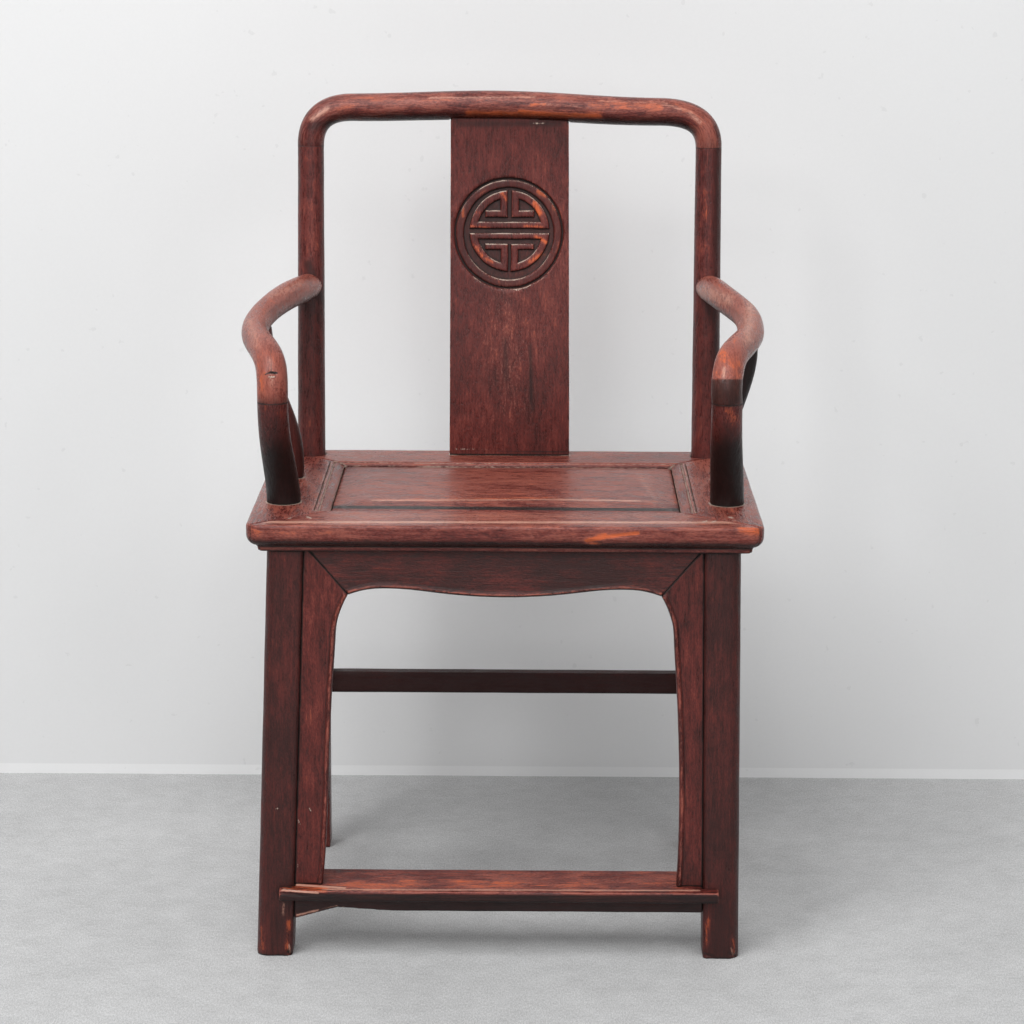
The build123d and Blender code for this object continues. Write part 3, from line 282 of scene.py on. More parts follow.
def surface_masks(place):
    """Masks stored on the mesh, how far the surface faces up, and how open its surroundings are."""
    facing = place.node("ShaderNodeNewGeometry", {}, output="Normal")
    near = {"Distance": HOLLOW_REACH}
    masks = dict(stain=place.node("ShaderNodeAttribute", {}, output="Alpha", attribute_name="wear"),
                 lift=place.node("ShaderNodeSeparateXYZ", {0: facing}, output=2),
                 # Ambient occlusion, which paints shade into hollows
                 open=place.node("ShaderNodeAmbientOcclusion", near, output="AO", samples=6))
    for name, parts in (("wear", ("edge", "crevice", "rub")), ("marks", ("dark", "pale", "thin"))):
        stored = place.node("ShaderNodeAttribute", {}, attribute_name=name)
        for index, part in enumerate(parts):
            masks[part] = place.node("ShaderNodeSeparateColor", {0: stored}, output=index)
    return masks


def add_damage(look):
    """Add the masks of chips, hollows of grime and painted shade, cracks, and filler with painted glints to
    a look.
    """
    chips = blend(look, rub=0.45, edge=look.finish["edge"] * 0.8, grit=0.35, mottle=0.35)
    look.chips = chips.between(1.18, 1.30)
    # Painted shade and grime in hollows, from ambient occlusion, concave bends and joints
    hollow = (1 - look.open) * 0.9 + look.crevice * 0.8 + look.mottle * 0.2 - 0.15
    look.hollow = hollow.between(0.25, 0.80)
    lines = 1 - (look.bands - 0.5).maths("ABSOLUTE").between(0.0, 0.004)
    look.cracks = lines * look.clouds.between(0.60, 0.85) * look.finish["cracks"]
    filler = blend(look, pale=1.2, grit=0.45, mottle=0.2) - 0.35
    look.filler = filler.between(0.30, 0.75)


def lacquer_colour(look):
    """Lacquer from deep to rubbed, with dark pores and a few warm glints."""
    colours, contrast, lightness = look.colours, look.finish["contrast"], look.finish["level"]
    pattern = blend(look, lines=0.20, grit=0.16, mottle=0.24, patches=0.20, clouds=0.20)
    tone = (pattern - 0.5) * contrast + 0.5
    # Painted light: surfaces that face up are made lighter, toward the rubbed colour
    level = tone + look.lift * 0.10 + look.rub * 0.30 + (lightness - 0.5)
    inputs = {"Factor": level.between(0.05, 0.66), 6: colours.deep, 7: colours.red}
    base = level.node("ShaderNodeMix", inputs, output=2, data_type="RGBA")
    base = base.over(colours.rubbed, level.between(0.45, 1.05) * 0.92)
    pores = 1 - blend(look, grit=0.5, lines=0.3, mottle=0.2).between(0.10, 0.70)
    base = base.tinted(PORE_TINT, pores * (0.25 + 0.25 * contrast))
    glints = blend(look, lines=0.35, mottle=0.40, grit=0.15, clouds=0.10, rub=0.2, lift=0.06)
    return base.over(colours.glow, glints.between(0.78, 0.98) * (0.6 * lightness))


def worn_colour(base, look):
    """Colour worn on edges and rubbed places, down to bare wood in chips."""
    worn = blend(look, edge=look.finish["edge"], mottle=0.30, lines=0.20, grit=0.15)
    base = base.over(look.colours.rubbed, worn.between(0.55, 0.95) * look.edge * 0.9)
    glow = blend(look, rub=0.90, patches=0.20, mottle=0.30, lines=0.25, grit=0.15)
    base = base.over(look.colours.glow, glow.between(0.80, 1.38) * 0.85)
    return base.over(look.colours.bare, look.chips * 0.8)


def darkened_colour(base, look):
    """Colour with painted shade on undersides, stains with painted shade, and grime with painted shade in
    hollows, with powder in dusty ones.
    """
    # Painted shade on surfaces that face down
    under = (look.mottle * 0.25 - look.lift - 0.10).between(0.0, 0.75)
    base = base.tinted(UNDERSIDE_SHADE_TINT, under * look.finish["under"])
    # Stains of age, with painted shade from the stroke tables
    stain = blend(look, stain=1.0, mottle=0.25, grit=0.15) - 0.22
    base = base.tinted(STAIN_AND_SHADE_TINT, stain.between(0.02, 0.85))
    dusty = look.finish.get("dusty", 0.0)
    # Grime with painted shade in hollows
    base = base.over(look.colours.grime_and_shade, look.hollow * (DUSTY_SHADE_AND_GRIME if dusty else PLAIN_SHADE_AND_GRIME))
    if dusty:
        powder = blend(look, crevice=0.7, grit=0.6, mottle=0.35)
        base = base.over(look.colours.dust, powder.between(0.90, 1.15) * dusty)
    return base


def marked_colour(base, look):
    """Colour with thin places and painted highlights, cracks, filler with painted glints, and dark marks
    with a painted shadow.
    """
    # Thin lacquer and painted highlights
    thin = blend(look, thin=1.1, grit=0.25, lines=0.2) - 0.3
    base = base.over(look.colours.thin, thin.between(0.10, 0.80))
    base = base.over(look.colours.grime_and_shade, look.cracks)
    # Filler and dust, with painted glints on the medallion's lit edges
    base = base.over(look.colours.dust, look.filler)
    # Dark marks: cracks, gaps and a painted shadow under the crest rail
    dark = blend(look, dark=1.2, grit=0.2) - 0.15
    return base.over(look.colours.grime_and_shade, dark.between(0.2, 0.7))


def lacquered_wood(name, finish, axis, seed):
    """Worn lacquer over straight-grained wood, with streaks, wear, grime, and painted light and shade."""
    amounts = FINISHES[finish]
    material, shader, place = new_material(name)
    lay = place
    if "bent" in amounts:
        lay = place.node("ShaderNodeAttribute", {}, output="Vector", attribute_name="lay")
    look = SimpleNamespace(finish=amounts, colours=palette(), **wood_patterns(lay, axis, seed),
                           **surface_masks(place))
    add_damage(look)
    base = worn_colour(lacquer_colour(look), look)
    feed(shader, "Base Color", marked_colour(darkened_colour(base, look), look))
    rough = blend(look, lines=0.18, mottle=0.16, hollow=0.28, stain=0.10, edge=-0.10, rub=-0.06)
    feed(shader, "Roughness", rough + (amounts["rough"] - 0.15))
    shader.inputs["Specular IOR Level"].default_value = 0.32
    shader.inputs["Coat Weight"].default_value = 0.06
    shader.inputs["Coat Roughness"].default_value = 0.18
    height = blend(look, lines=0.5, grit=0.4, mottle=0.6, cracks=-1.0, chips=-0.5, hollow=-0.3, filler=0.8)
    bumped(shader, height, BUMP_STRENGTH, BUMP_HEIGHT)
    return material


# Worn meshes


def link_piece(piece):
    """Show a finished piece, riding on the chair."""
    bpy.context.scene.collection.objects.link(piece)
    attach(piece, "root")
    return piece


def mesh_of(body, name):
    """New mesh of a body, which ends there."""
    mesh = bpy.data.meshes.new(name)
    body.to_mesh(mesh)
    body.free()
    return mesh


def merged_copy(*nodes):
    """Mesh of one or more solids with their doubled corners merged."""
    body = bmesh.new()
    for node in nodes:
        body.from_mesh(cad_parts[node].data)
    bmesh.ops.remove_doubles(body, verts=body.verts, dist=0.004 * MM)
    mesh = mesh_of(body, nodes[0])
    mesh.materials.clear()
    return mesh


def remeshed(mesh, voxel):
    """Mesh rebuilt from even cells, which rounds its edges a little."""
    holder = bpy.data.objects.new("holder", mesh)
    bpy.context.scene.collection.objects.link(holder)
    modifier = holder.modifiers.new("Even", "REMESH")
    modifier.mode = "VOXEL"
    modifier.voxel_size = voxel
    modifier.use_smooth_shade = True
    graph = bpy.context.evaluated_depsgraph_get()
    graph.update()
    made = bpy.data.meshes.new_from_object(holder.evaluated_get(graph))
    bpy.data.objects.remove(holder)
    return made


def edge_pairs(mesh):
    """Vertex numbers at both ends of every edge."""
    pairs = np.empty(len(mesh.edges) * 2, dtype=np.int32)
    mesh.edges.foreach_get("vertices", pairs)
    return pairs.reshape(-1, 2)


def vertex_array(mesh, name):
    """Places or normals of all vertices."""
    values = np.empty(len(mesh.vertices) * 3, dtype=np.float32)
    mesh.vertices.foreach_get(name, values)
    return values.reshape(-1, 3)


def set_places(mesh, places):
    """Move all vertices."""
    mesh.vertices.foreach_set("co", places.astype(np.float32).ravel())
    mesh.update()


def neighbour_mean(values, pairs):
    """Mean of a value over the vertices next to each vertex."""
    count = len(values)
    total = np.bincount(pairs[:, 0], values[pairs[:, 1]], count)
    total += np.bincount(pairs[:, 1], values[pairs[:, 0]], count)
    return total / np.maximum(np.bincount(pairs.ravel(), minlength=count), 1)


def spread(values, pairs, rounds):
    """Even out a value over neighbouring vertices."""
    for _ in range(rounds):
        values = 0.5 * values + 0.5 * neighbour_mean(values, pairs)
    return values


def curvature(places, normals, pairs):
    """Bend of the surface at each vertex, per metre: above 0 in hollows, below 0 on edges."""
    run = places[pairs[:, 1]] - places[pairs[:, 0]]
    square = np.maximum(np.einsum("ij,ij->i", run, run), 1e-12)
    first = 2 * np.einsum("ij,ij->i", run, normals[pairs[:, 0]]) / square
    second = -2 * np.einsum("ij,ij->i", run, normals[pairs[:, 1]]) / square
    count = len(places)
    total = np.bincount(pairs[:, 0], first, count) + np.bincount(pairs[:, 1], second, count)
    return total / np.maximum(np.bincount(pairs.ravel(), minlength=count), 1)


def strokes_mask(spots, facing, strokes):
    """Strongest of several strokes at each spot of the picture."""
    mask = np.zeros(len(spots))
    for column, row, end_column, end_row, radius, softness, strength in strokes:
        start, run = np.array([column, row]), np.array([end_column - column, end_row - row], float)
        share = np.clip((spots - start) @ run / max(run @ run, 1e-9), 0.0, 1.0)
        away = np.linalg.norm(spots - start - share[:, None] * run, axis=1)
        mask = np.maximum(mask, strength * np.clip((radius - away) / softness + 0.5, 0.0, 1.0))
    return mask * facing


def dented(places, normals, depth, wave, seed):
    """Places moved along their normals by slow waves, as hand-planed wood has."""
    shift = Vector([seed * step for step in WAVE_STEP])
    rises = [noise.noise(Vector(place) / wave + shift) for place in places]
    return places + normals * (np.array(rises, dtype=np.float32)[:, None] * depth)


# Strokes of wear, and of painted light and shade, seen in the picture: column and row of start and end,
# radius, softness, strength


# Rubbed by hands and feet, with painted highlights on lit arrises and tops such as the seat's front arris
# and the splat's middle
RUBS_AND_HIGHLIGHTS = {
    "crest_rail": [
        (322, 112, 360, 103, 5, 8, 0.5), (468, 113, 600, 116, 4, 7, 0.95), (340, 99, 560, 101, 3, 5, 0.45),
        (520, 112, 548, 115, 3, 3, 1), (590, 104, 660, 107, 5, 7, 0.55), (676, 106, 700, 124, 6, 8, 0.5),
        (325, 120, 380, 117, 2, 4, 0.55), (530, 105, 545, 104, 2, 3, 0.9)],
    "rear_post_left": [(310, 150, 312, 250, 7, 9, 0.25)],
    "rear_post_right": [(705, 150, 705, 250, 5, 12, 0.45)],
    "armrest_left": [
        (262, 318, 272, 300, 3, 6, 0.45), (260, 356, 262, 392, 6, 14, 0.5),
        (290, 290, 312, 284, 4, 8, 0.35), (250, 325, 258, 345, 4, 8, 0.3)],
    "armrest_right": [
        (742, 330, 722, 350, 8, 16, 0.4), (718, 354, 736, 366, 11, 18, 0.64),
        (714, 374, 740, 376, 5, 6, 0.6)],
    "arm_post_left": [(268, 405, 285, 412, 8, 10, 0.35)],
    "arm_post_right": [(726, 408, 734, 418, 6, 10, 0.55)],
    "seat_rail_front": [
        (587, 541, 605, 536, 3, 4, 1), (605, 537, 638, 533, 2, 3, 1), (590, 543, 600, 544, 2, 3, 0.9),
        (252, 523, 758, 523, 1.5, 3, 0.5), (330, 516, 690, 516, 4, 8, 0.3),
        (262, 533, 330, 533, 3, 4, 0.35), (742, 530, 760, 531, 5, 6, 0.8), (250, 530, 258, 533, 4, 5, 0.5),
        (480, 528, 560, 527, 2, 4, 0.5)],
    "seat_panel": [
        (372, 500, 560, 498, 1, 2.5, 0.85), (560, 498, 690, 503, 1, 2.5, 0.65),
        (640, 475, 660, 500, 4, 8, 0.45), (430, 495, 540, 492, 3, 8, 0.4)],
    "footrest": [
        (330, 885, 690, 884, 5, 8, 0.5), (400, 880, 560, 884, 3, 6, 0.6), (285, 886, 325, 889, 4, 4, 0.8)],
    "front_leg_left": [(262, 948, 262, 928, 3, 6, 0.6), (289, 922, 287, 948, 3, 5, 0.75)],
    "front_leg_right": [(706, 945, 708, 920, 3, 5, 0.55), (733, 940, 734, 955, 3, 5, 0.55)],
    "back_splat": [
        (463, 206, 463, 216, 1.5, 3, 0.8), (477, 196, 486, 190, 2, 4, 0.6),
        (538, 191, 545, 196, 2.5, 4, 0.8), (553, 205, 555, 210, 1.5, 3, 0.7),
        (535, 203, 539, 213, 3, 4, 0.9), (502, 193, 506, 200, 2.5, 4, 0.8), (476, 212, 484, 214, 2, 4, 0.6),
        (470, 226, 490, 228, 1.5, 3, 0.7), (525, 226, 542, 227, 1.5, 3, 0.7),
        (536, 237, 546, 242, 2, 4, 0.9), (474, 244, 482, 256, 3, 5, 0.8), (484, 258, 493, 262, 2, 4, 0.7),
        (530, 262, 543, 254, 3, 5, 0.7), (478, 268, 500, 282, 1.5, 3, 0.5),
        (559, 242, 557, 252, 1.5, 3, 0.6), (490, 320, 530, 340, 14, 40, 0.24)],
}
# Darkened by age, and painted shade under the crest rail, the arms and the footrest and where the feet meet
# the floor
STAINS_AND_SHADE = {
    "crest_rail": [
        (298, 155, 298, 128, 4, 8, 0.5), (312, 128, 330, 122, 5, 8, 0.5),
        (295, 152, 325, 152, 16, 18, 0.42), (690, 152, 725, 152, 14, 18, 0.36),
        (722, 150, 716, 125, 4, 6, 0.45), (470, 108, 600, 109, 1, 3, 0.35)],
    "rear_post_left": [(312, 300, 312, 430, 6, 40, 0.3), (308, 264, 322, 300, 5, 6, 0.5)],
    "rear_post_right": [
        (717, 150, 716, 430, 4, 6, 0.45), (704, 300, 704, 430, 6, 40, 0.25),
        (700, 290, 714, 320, 5, 8, 0.5)],
    "side_spindle_left": [(304, 400, 304, 480, 12, 30, 0.72)],
    "side_spindle_right": [(752, 340, 738, 440, 20, 40, 1)],
    "arm_post_left": [(262, 446, 300, 436, 1, 26, 0.9), (285, 475, 283, 520, 34, 30, 0.95)],
    "arm_post_right": [(727, 470, 727, 520, 34, 30, 0.95)],
    "armrest_left": [
        (252, 403, 292, 403, 5, 16, 0.62), (284, 350, 288, 400, 1, 6, 0.35),
        (302, 288, 268, 314, 1.5, 6, 0.42)],
    "armrest_right": [(700, 396, 755, 396, 17, 2, 0.72), (712, 286, 745, 322, 1.5, 7, 0.42)],
    "back_splat": [
        (530, 345, 532, 410, 2, 4, 0.7), (505, 340, 506, 380, 3, 6, 0.5), (460, 124, 560, 124, 3, 6, 0.6),
        (480, 380, 545, 395, 3, 20, 0.35)],
    "footrest": [(284, 899, 716, 901, 5.5, 2, 0.8)],
    "footrest_apron": [(300, 906, 716, 908, 8, 6, 0.5)],
    "front_leg_left": [(276, 915, 276, 945, 8, 14, 0.35), (262, 957, 292, 957, 1, 4, 0.8)],
    "front_leg_right": [(720, 915, 720, 950, 8, 14, 0.3), (704, 959, 738, 959, 1, 4, 0.8)],
    "seat_panel": [(345, 470, 420, 474, 4, 12, 0.25), (450, 480, 520, 486, 3, 10, 0.22)],
}
# Worn thin and pale, and painted highlights on the crest's bends and top, the arms, the seat's front arris,
# the footrest's arris and the splat's middle
THIN_AND_HIGHLIGHTS = {
    "crest_rail": [
        (312, 119, 328, 108, 2.5, 6, 0.7), (662, 103, 688, 111, 1.5, 6, 0.55),
        (690, 113, 700, 122, 2, 6, 0.65), (430, 98, 535, 97, 1, 4, 0.62), (600, 101, 660, 103, 1, 4, 0.5),
        (540, 104, 580, 106, 1, 4, 0.45)],
    "armrest_left": [
        (300, 283, 272, 296, 5, 9, 0.36), (250, 322, 256, 345, 6, 10, 0.36),
        (270, 360, 272, 386, 2, 6, 0.42)],
    "armrest_right": [
        (702, 292, 728, 300, 9, 12, 0.42), (750, 306, 748, 340, 8, 14, 0.46),
        (724, 368, 724, 377, 1.5, 4, 0.75)],
    "seat_rail_front": [(248, 522, 761, 522.5, 1, 2.2, 0.9), (340, 516, 690, 516, 5, 10, 0.3)],
    "seat_panel": [
        (372, 500.5, 560, 499.5, 0.8, 1.8, 0.7), (560, 499.5, 640, 501, 0.8, 1.8, 0.8),
        (640, 501, 700, 506, 0.5, 1.5, 0.55), (641, 478, 655, 500, 2, 6, 0.42),
        (348, 464, 640, 461.5, 0.3, 1.5, 0.5)],
    "footrest": [
        (322, 889.5, 700, 890.5, 0.7, 1.6, 0.75), (283, 884, 345, 888, 1, 1.5, 0.9),
        (282, 890, 318, 893, 0.9, 1.4, 0.9)],
    "footrest_apron": [(297, 915, 318, 910, 0.9, 1.6, 0.7), (320, 909.5, 337, 905.5, 0.4, 1.6, 0.55)],
    "back_splat": [(505, 300, 512, 400, 22, 50, 0.2)],
    "front_leg_left": [(284, 903, 283, 914, 1.5, 4, 0.45), (289, 945, 290, 952, 1, 2, 0.6)],
    "front_leg_right": [(731, 948, 733, 955, 1, 2, 0.5)],
}
# Dark cracks and gaps, and a painted shadow under the crest rail on the splat
DARK = {
    "armrest_left": [
        (271, 345, 271, 372, 0.35, 1.2, 0.85), (265, 374.5, 271, 372, 0.5, 1.2, 1),
        (271, 372, 277, 373, 0.8, 1.2, 1), (254, 376, 266, 374, 0.2, 1.2, 0.6)],
    "seat_rail_front": [(763, 526, 744, 522, 0.3, 1.2, 0.9)],
    "seat_rail_right": [(763, 526, 744, 522, 0.3, 1.2, 0.9)],
    "seat_panel": [(332, 507, 690, 510, 1.4, 1.2, 1)],
    "footrest": [
        (284, 887.5, 332, 890.5, 0.3, 1, 0.9), (300, 884, 345, 886, 0.1, 1, 0.6),
        (560, 884, 690, 888, 0.2, 1.2, 0.5)],
    "back_splat": [(452, 122, 568, 122, 0.6, 2.5, 0.7), (452, 450, 568, 452, 0.8, 2, 0.6)],
}
# Pale filler or bare wood
PALE = {
    "armrest_left": [(269, 377, 275, 377, 0.6, 1.2, 0.9), (270, 379, 273, 380, 0.3, 1.2, 0.7)],
    "back_splat": [(526, 122, 545, 124, 0.6, 1.2, 0.6), (456, 449, 564, 451, 0.3, 1.2, 0.5)],
    "seat_rail_front": [
        (288, 518, 291, 518, 0.8, 1, 0.7), (307, 517, 311, 518, 0.8, 1, 0.7),
        (702, 522, 707, 521, 0.6, 1, 0.8), (712, 522, 716, 521, 0.6, 1, 0.8),
        (255, 521, 300, 524, 0.1, 1, 0.35), (380, 523, 640, 524, 0.2, 1.2, 0.35)],
    "seat_rail_right": [
        (722, 514, 744, 513, 0.2, 1, 0.6), (744, 513, 748, 520, 0.2, 1, 0.6),
        (748, 520, 726, 521, 0.2, 1, 0.6), (726, 521, 722, 514, 0.2, 1, 0.6),
        (729, 517, 733, 518, 0.6, 1, 0.8)],
    "seat_panel": [
        (400, 503, 560, 504, 0.2, 1.5, 0.4), (370, 504, 400, 507, 0.2, 1.4, 0.5),
        (590, 503, 690, 508, 0.2, 1.2, 0.35)],
    "front_leg_left": [(275, 808, 280, 809, 0.2, 1, 0.9)],
    "front_apron_left": [
        (298, 820, 300, 824, 0.3, 1, 0.9), (309, 808, 311, 811, 0.4, 1, 0.9),
        (297, 862, 298, 868, 0.3, 1, 0.6)],
    "footrest": [
        (283, 889, 300, 891, 0.4, 1.2, 0.7), (300, 891, 324, 892, 0.1, 1, 0.6),
        (330, 890, 520, 891, 0.1, 1.2, 0.35), (290, 883, 310, 882, 0.1, 1, 0.6)],
    "footrest_apron": [(297, 918, 330, 912, 0.5, 1.2, 0.8), (330, 912, 346, 906, 0.3, 1, 0.7)],
}
# Chips, with their depth in millimetres as their strength
CHIPS = {
    "armrest_left": [(269, 373, 276, 374, 0.6, 1.5, 1.6)],
    "footrest": [
        (281, 893, 300, 895, 1.2, 2, 1), (300, 895, 325, 894, 0.8, 2, 0.8),
        (281, 887, 296, 886, 1, 1.5, 1.4), (345, 892, 420, 892, 0.6, 2, 0.7),
        (500, 893, 560, 893, 0.6, 2, 0.6)],
    "front_leg_left": [
        (258, 956, 264, 957, 1.5, 2, 2.4), (276, 957, 281, 957, 1, 2, 2.2), (289, 952, 294, 957, 2, 3, 3),
        (290, 905, 291, 925, 1, 2, 1.2)],
    "front_leg_right": [(704, 955, 712, 957, 1.5, 2.5, 1.6), (730, 955, 735, 956, 2, 3, 1.8)],
    "seat_rail_front": [
        (588, 541, 600, 544, 1.5, 3, 0.5), (612, 536, 640, 534, 1.5, 3, 0.5),
        (250, 524, 262, 524, 1, 2, 0.5), (505, 523, 530, 523, 0.6, 1.5, 0.4)],
}
# Upright pieces with old filler round their feet, its reach, and how level a surface is to hold it
UPRIGHTS = ("rear_post_left", "rear_post_right", "back_splat", "arm_post_left", "arm_post_right",
            "side_spindle_left", "side_spindle_right")
COLLAR_REACH, COLLAR_LEVEL = 2.2 * MM, 0.7
# Bend in 1 per metre over which edges and hollows grow to their full mask, and shares of it where they start
FULL_BEND = 200.0
EDGE_START, HOLLOW_START = 0.2, 0.1
# Dirt where pieces meet: its reach, the edges it covers, its growth, and its share on rails or elsewhere
JOINT_REACH, JOINT_EDGE, JOINT_GROWTH = 2.6 * MM, 0.3, 1.6
RAIL_SHARE, PLAIN_SHARE = 0.35, 0.9
# Step from one piece's waves to the next piece's
WAVE_STEP = (1.7, 0.9, 2.3)


def nearness(places, chosen, others, reach):
    """How close each chosen place is to other solids: 1 touching, 0 beyond reach."""
    close = np.zeros(len(places))
    for other in others:
        tree = solid_tree(other)
        low, high = (np.array(corner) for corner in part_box(other))
        within = np.all((places > low - reach) & (places < high + reach), axis=1)
        for index in np.flatnonzero(chosen & within):
            distance = tree.find_nearest(places[index], reach)[3]
            if distance is not None:
                close[index] = max(close[index], 1 - distance / reach)
    return close


def neighbours(node, reach):
    """Other nodes whose boxes come near a node's box."""
    low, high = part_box(node)
    near = []
    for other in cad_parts:
        other_low, other_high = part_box(other)
        apart = max(max(other_low[i] - high[i], low[i] - other_high[i]) for i in range(3))
        if other != node and apart < reach:
            near.append(other)
    return near


@lru_cache(maxsize=None)
def solid_tree(node):
    """Search tree of a solid's surface."""
    body = bmesh.new()
    body.from_mesh(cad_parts[node].data)
    tree = BVHTree.FromBMesh(body)
    body.free()
    return tree


def collars(node, places, normals):
    """Band of old filler on the seat frame round the foot of each upright."""
    if not node.startswith("seat_rail"):
        return np.zeros(len(places))
    return nearness(places, normals[:, 2] > COLLAR_LEVEL, UPRIGHTS, COLLAR_REACH)


def store_masks(mesh, name, *masks):
    """Store up to four masks on a mesh under one name."""
    values = np.zeros((len(mesh.vertices), 4), dtype=np.float32)
    for channel, mask in enumerate(masks):
        values[:, channel] = mask
    layer = mesh.color_attributes.new(name, "FLOAT_COLOR", "POINT")
    layer.data.foreach_set("color", values.ravel())


def in_view(places, normals):
    """1 where the surface faces the camera, else 0."""
    toward = (np.array(CAMERA_PLACE) + np.array(CHAIR_SHIFT)) * MM - places
    return (np.einsum("ij,ij->i", toward, normals) > 0).astype(float)


def bent_masks(mesh, node, places, normals):
    """Masks of worn edges and of hollows, with dirt in place of wear where other pieces meet this one."""
    pairs = edge_pairs(mesh)
    bend = spread(curvature(places, normals, pairs), pairs, 3)
    edge = np.clip(-bend / FULL_BEND - EDGE_START, 0.0, 1.0)
    hollow = np.clip(bend / FULL_BEND - HOLLOW_START, 0.0, 1.0)
    joint = nearness(places, edge > JOINT_EDGE, neighbours(node, JOINT_REACH), JOINT_REACH)
    joint = np.clip(joint * JOINT_GROWTH, 0.0, 1.0)
    return edge * (1 - joint), np.maximum(hollow, joint * (RAIL_SHARE if "rail" in node else PLAIN_SHARE))


def paint_wear(mesh, node, more):
    """Store masks of edges, hollows, rubs with painted highlights, stains with painted shade, cracks, filler
    and thin places on the mesh.
    """
    places, normals = vertex_array(mesh, "co"), vertex_array(mesh, "normal")
    spots, facing = seen(places), in_view(places, normals)
    edge, hollow = bent_masks(mesh, node, places, normals)
    rub, dark, pale, thin = (strokes_mask(spots, facing, table.get(node, ()))
                             for table in (RUBS_AND_HIGHLIGHTS, DARK, PALE, THIN_AND_HIGHLIGHTS))
    stain = strokes_mask(spots, np.ones(len(places)), STAINS_AND_SHADE.get(node, ()))
    pale = np.maximum(pale, collars(node, places, normals))
    hollow, stain, pale = (np.maximum(mask, more.get(name, 0.0))
                           for name, mask in (("hollow", hollow), ("stain", stain), ("pale", pale)))
    store_masks(mesh, "wear", edge, hollow, rub, stain)
    store_masks(mesh, "marks", dark, pale, thin)


def seed_of(node):
    """Number that sets a node's own pattern."""
    return 1 + sorted(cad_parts).index(node)


def finished(mesh, node, finish, axis, **more):
    """Paint, colour and show a worn mesh in a solid's place, with more masks if given."""
    paint_wear(mesh, node, more)
    mesh.materials.append(lacquered_wood(node + "_lacquer", finish, axis, seed_of(node)))
    mesh.name = "worn_" + node
    piece = link_piece(bpy.data.objects.new("worn_" + node, mesh))
    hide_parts(node)
    return piece


def worn_skin(nodes, fineness, settle=2):
    """Softly rounded, uneven and chipped skin round one or more solids, smoothed a number of times."""
    sizes = bpy.context.scene.chair_sizes
    mesh = remeshed(merged_copy(*nodes), sizes.voxel * fineness)
    body = bmesh.new()
    body.from_mesh(mesh)
    for _ in range(settle):
        bmesh.ops.smooth_vert(body, verts=body.verts, factor=0.5, use_axis_x=True, use_axis_y=True,
                              use_axis_z=True)
    body.to_mesh(mesh)
    body.free()
    places, normals = vertex_array(mesh, "co"), vertex_array(mesh, "normal")
    chips = [stroke for node in nodes for stroke in CHIPS.get(node, ())]
    depth = strokes_mask(seen(places), in_view(places, normals), chips) * MM
    places = dented(places, normals, sizes.dents, sizes.wave, seed_of(nodes[0]))
    set_places(mesh, places - normals * depth[:, None])
    return mesh


# Crest rail in millimetres: radius of its bends, level of their centres, and half its thickness
BEND_RADIUS = 39.0
BEND_LEVEL = 878.0
PIPE_RADIUS = 14.0


def lay_round_bends(mesh):
    """Store places straightened along the crest rail, so that its grain follows the bends."""
    x, y, z = vertex_array(mesh, "co").astype(float).T / MM
    middle, half = (x.min() + x.max()) / 2, (x.max() - x.min()) / 2
    straight = half - PIPE_RADIUS - BEND_RADIUS
    out, rise = np.abs(x - middle) - straight, z - BEND_LEVEL
    bent, low = (out > 0) & (rise > 0), (out > 0) & (rise <= 0)
    along, level = np.abs(x - middle), rise.copy()
    along[bent] = straight + BEND_RADIUS * np.arctan2(out[bent], rise[bent])
    level[bent] = np.hypot(out[bent], rise[bent])
    along[low] = straight + BEND_RADIUS * math.pi / 2 - rise[low]
    level[low] = out[low]
    lay = np.stack([along * np.sign(x - middle), y, level], axis=1) * MM
    layer = mesh.attributes.new("lay", "FLOAT_VECTOR", "POINT")
    layer.data.foreach_set("vector", lay.astype(np.float32).ravel())


def worn_piece(node, finish, axis, fineness=1.0, settle=2):
    """Stand a worn copy in a solid's place."""
    return finished(worn_skin([node], fineness, settle), node, finish, axis)


def part_of(mesh, level, above, side=0):
    """Closed part of a skin above or below a level, on one side of the chair's middle if asked."""
    body = bmesh.new()
    body.from_mesh(mesh)
    planes = [((0, 0, level), (0, 0, 1 if above else -1))]
    if side:
        planes.append(((CHAIR_SHIFT.x * MM, 0, 0), (side, 0, 0)))
    for place, keep in planes:
        geom = body.verts[:] + body.edges[:] + body.faces[:]
        bmesh.ops.bisect_plane(body, geom=geom, plane_co=place, plane_no=keep, clear_inner=True)
    rim = [edge for edge in body.edges if edge.is_boundary]
    for face in bmesh.ops.holes_fill(body, edges=rim, sides=0)["faces"]:
        face.smooth = False
    return mesh_of(body, "part")


# Carved splat


# Board in millimetres: width, foot, thickness and rounding of its edges
SPLAT_WIDTH = 144.0
SPLAT_FOOT = 499.6
SPLAT_THICKNESS = 11.0
SPLAT_ROUNDING = 1.1
# Levels at which the solid's corners give the board's sides, each within this much up and down
SPLAT_LEVELS = (510.0, 900.0)
SPLAT_LEVEL_HALF = 12.0
# Part of the solid whose faces give the board's curve: this far out and, in metres, this high up
SPLAT_SIDE_REACH = 66.0
SPLAT_SIDE_LEVEL = 0.5
# Cells across and up the board, and cuts of the finer cells within a reach of the medallion's middle
SPLAT_CELLS = (56, 160)
FINE_CUTS, FINE_REACH = 3, 68.0
# How squarely a face looks forward to be in front, and how near the front a carved place lies
FRONT_FACING = -0.9
FRONT_SKIN = 0.05
# Medallion in millimetres: its middle, its stretch upward, and the shift and growth of its inner disc
MEDALLION_HEIGHT = 768.6
MEDALLION_SHIFT = -0.6
MEDALLION_STRETCH = 1.012
DISC_SHIFT = (0.9, 3.0)
DISC_GROWTH = 1.025
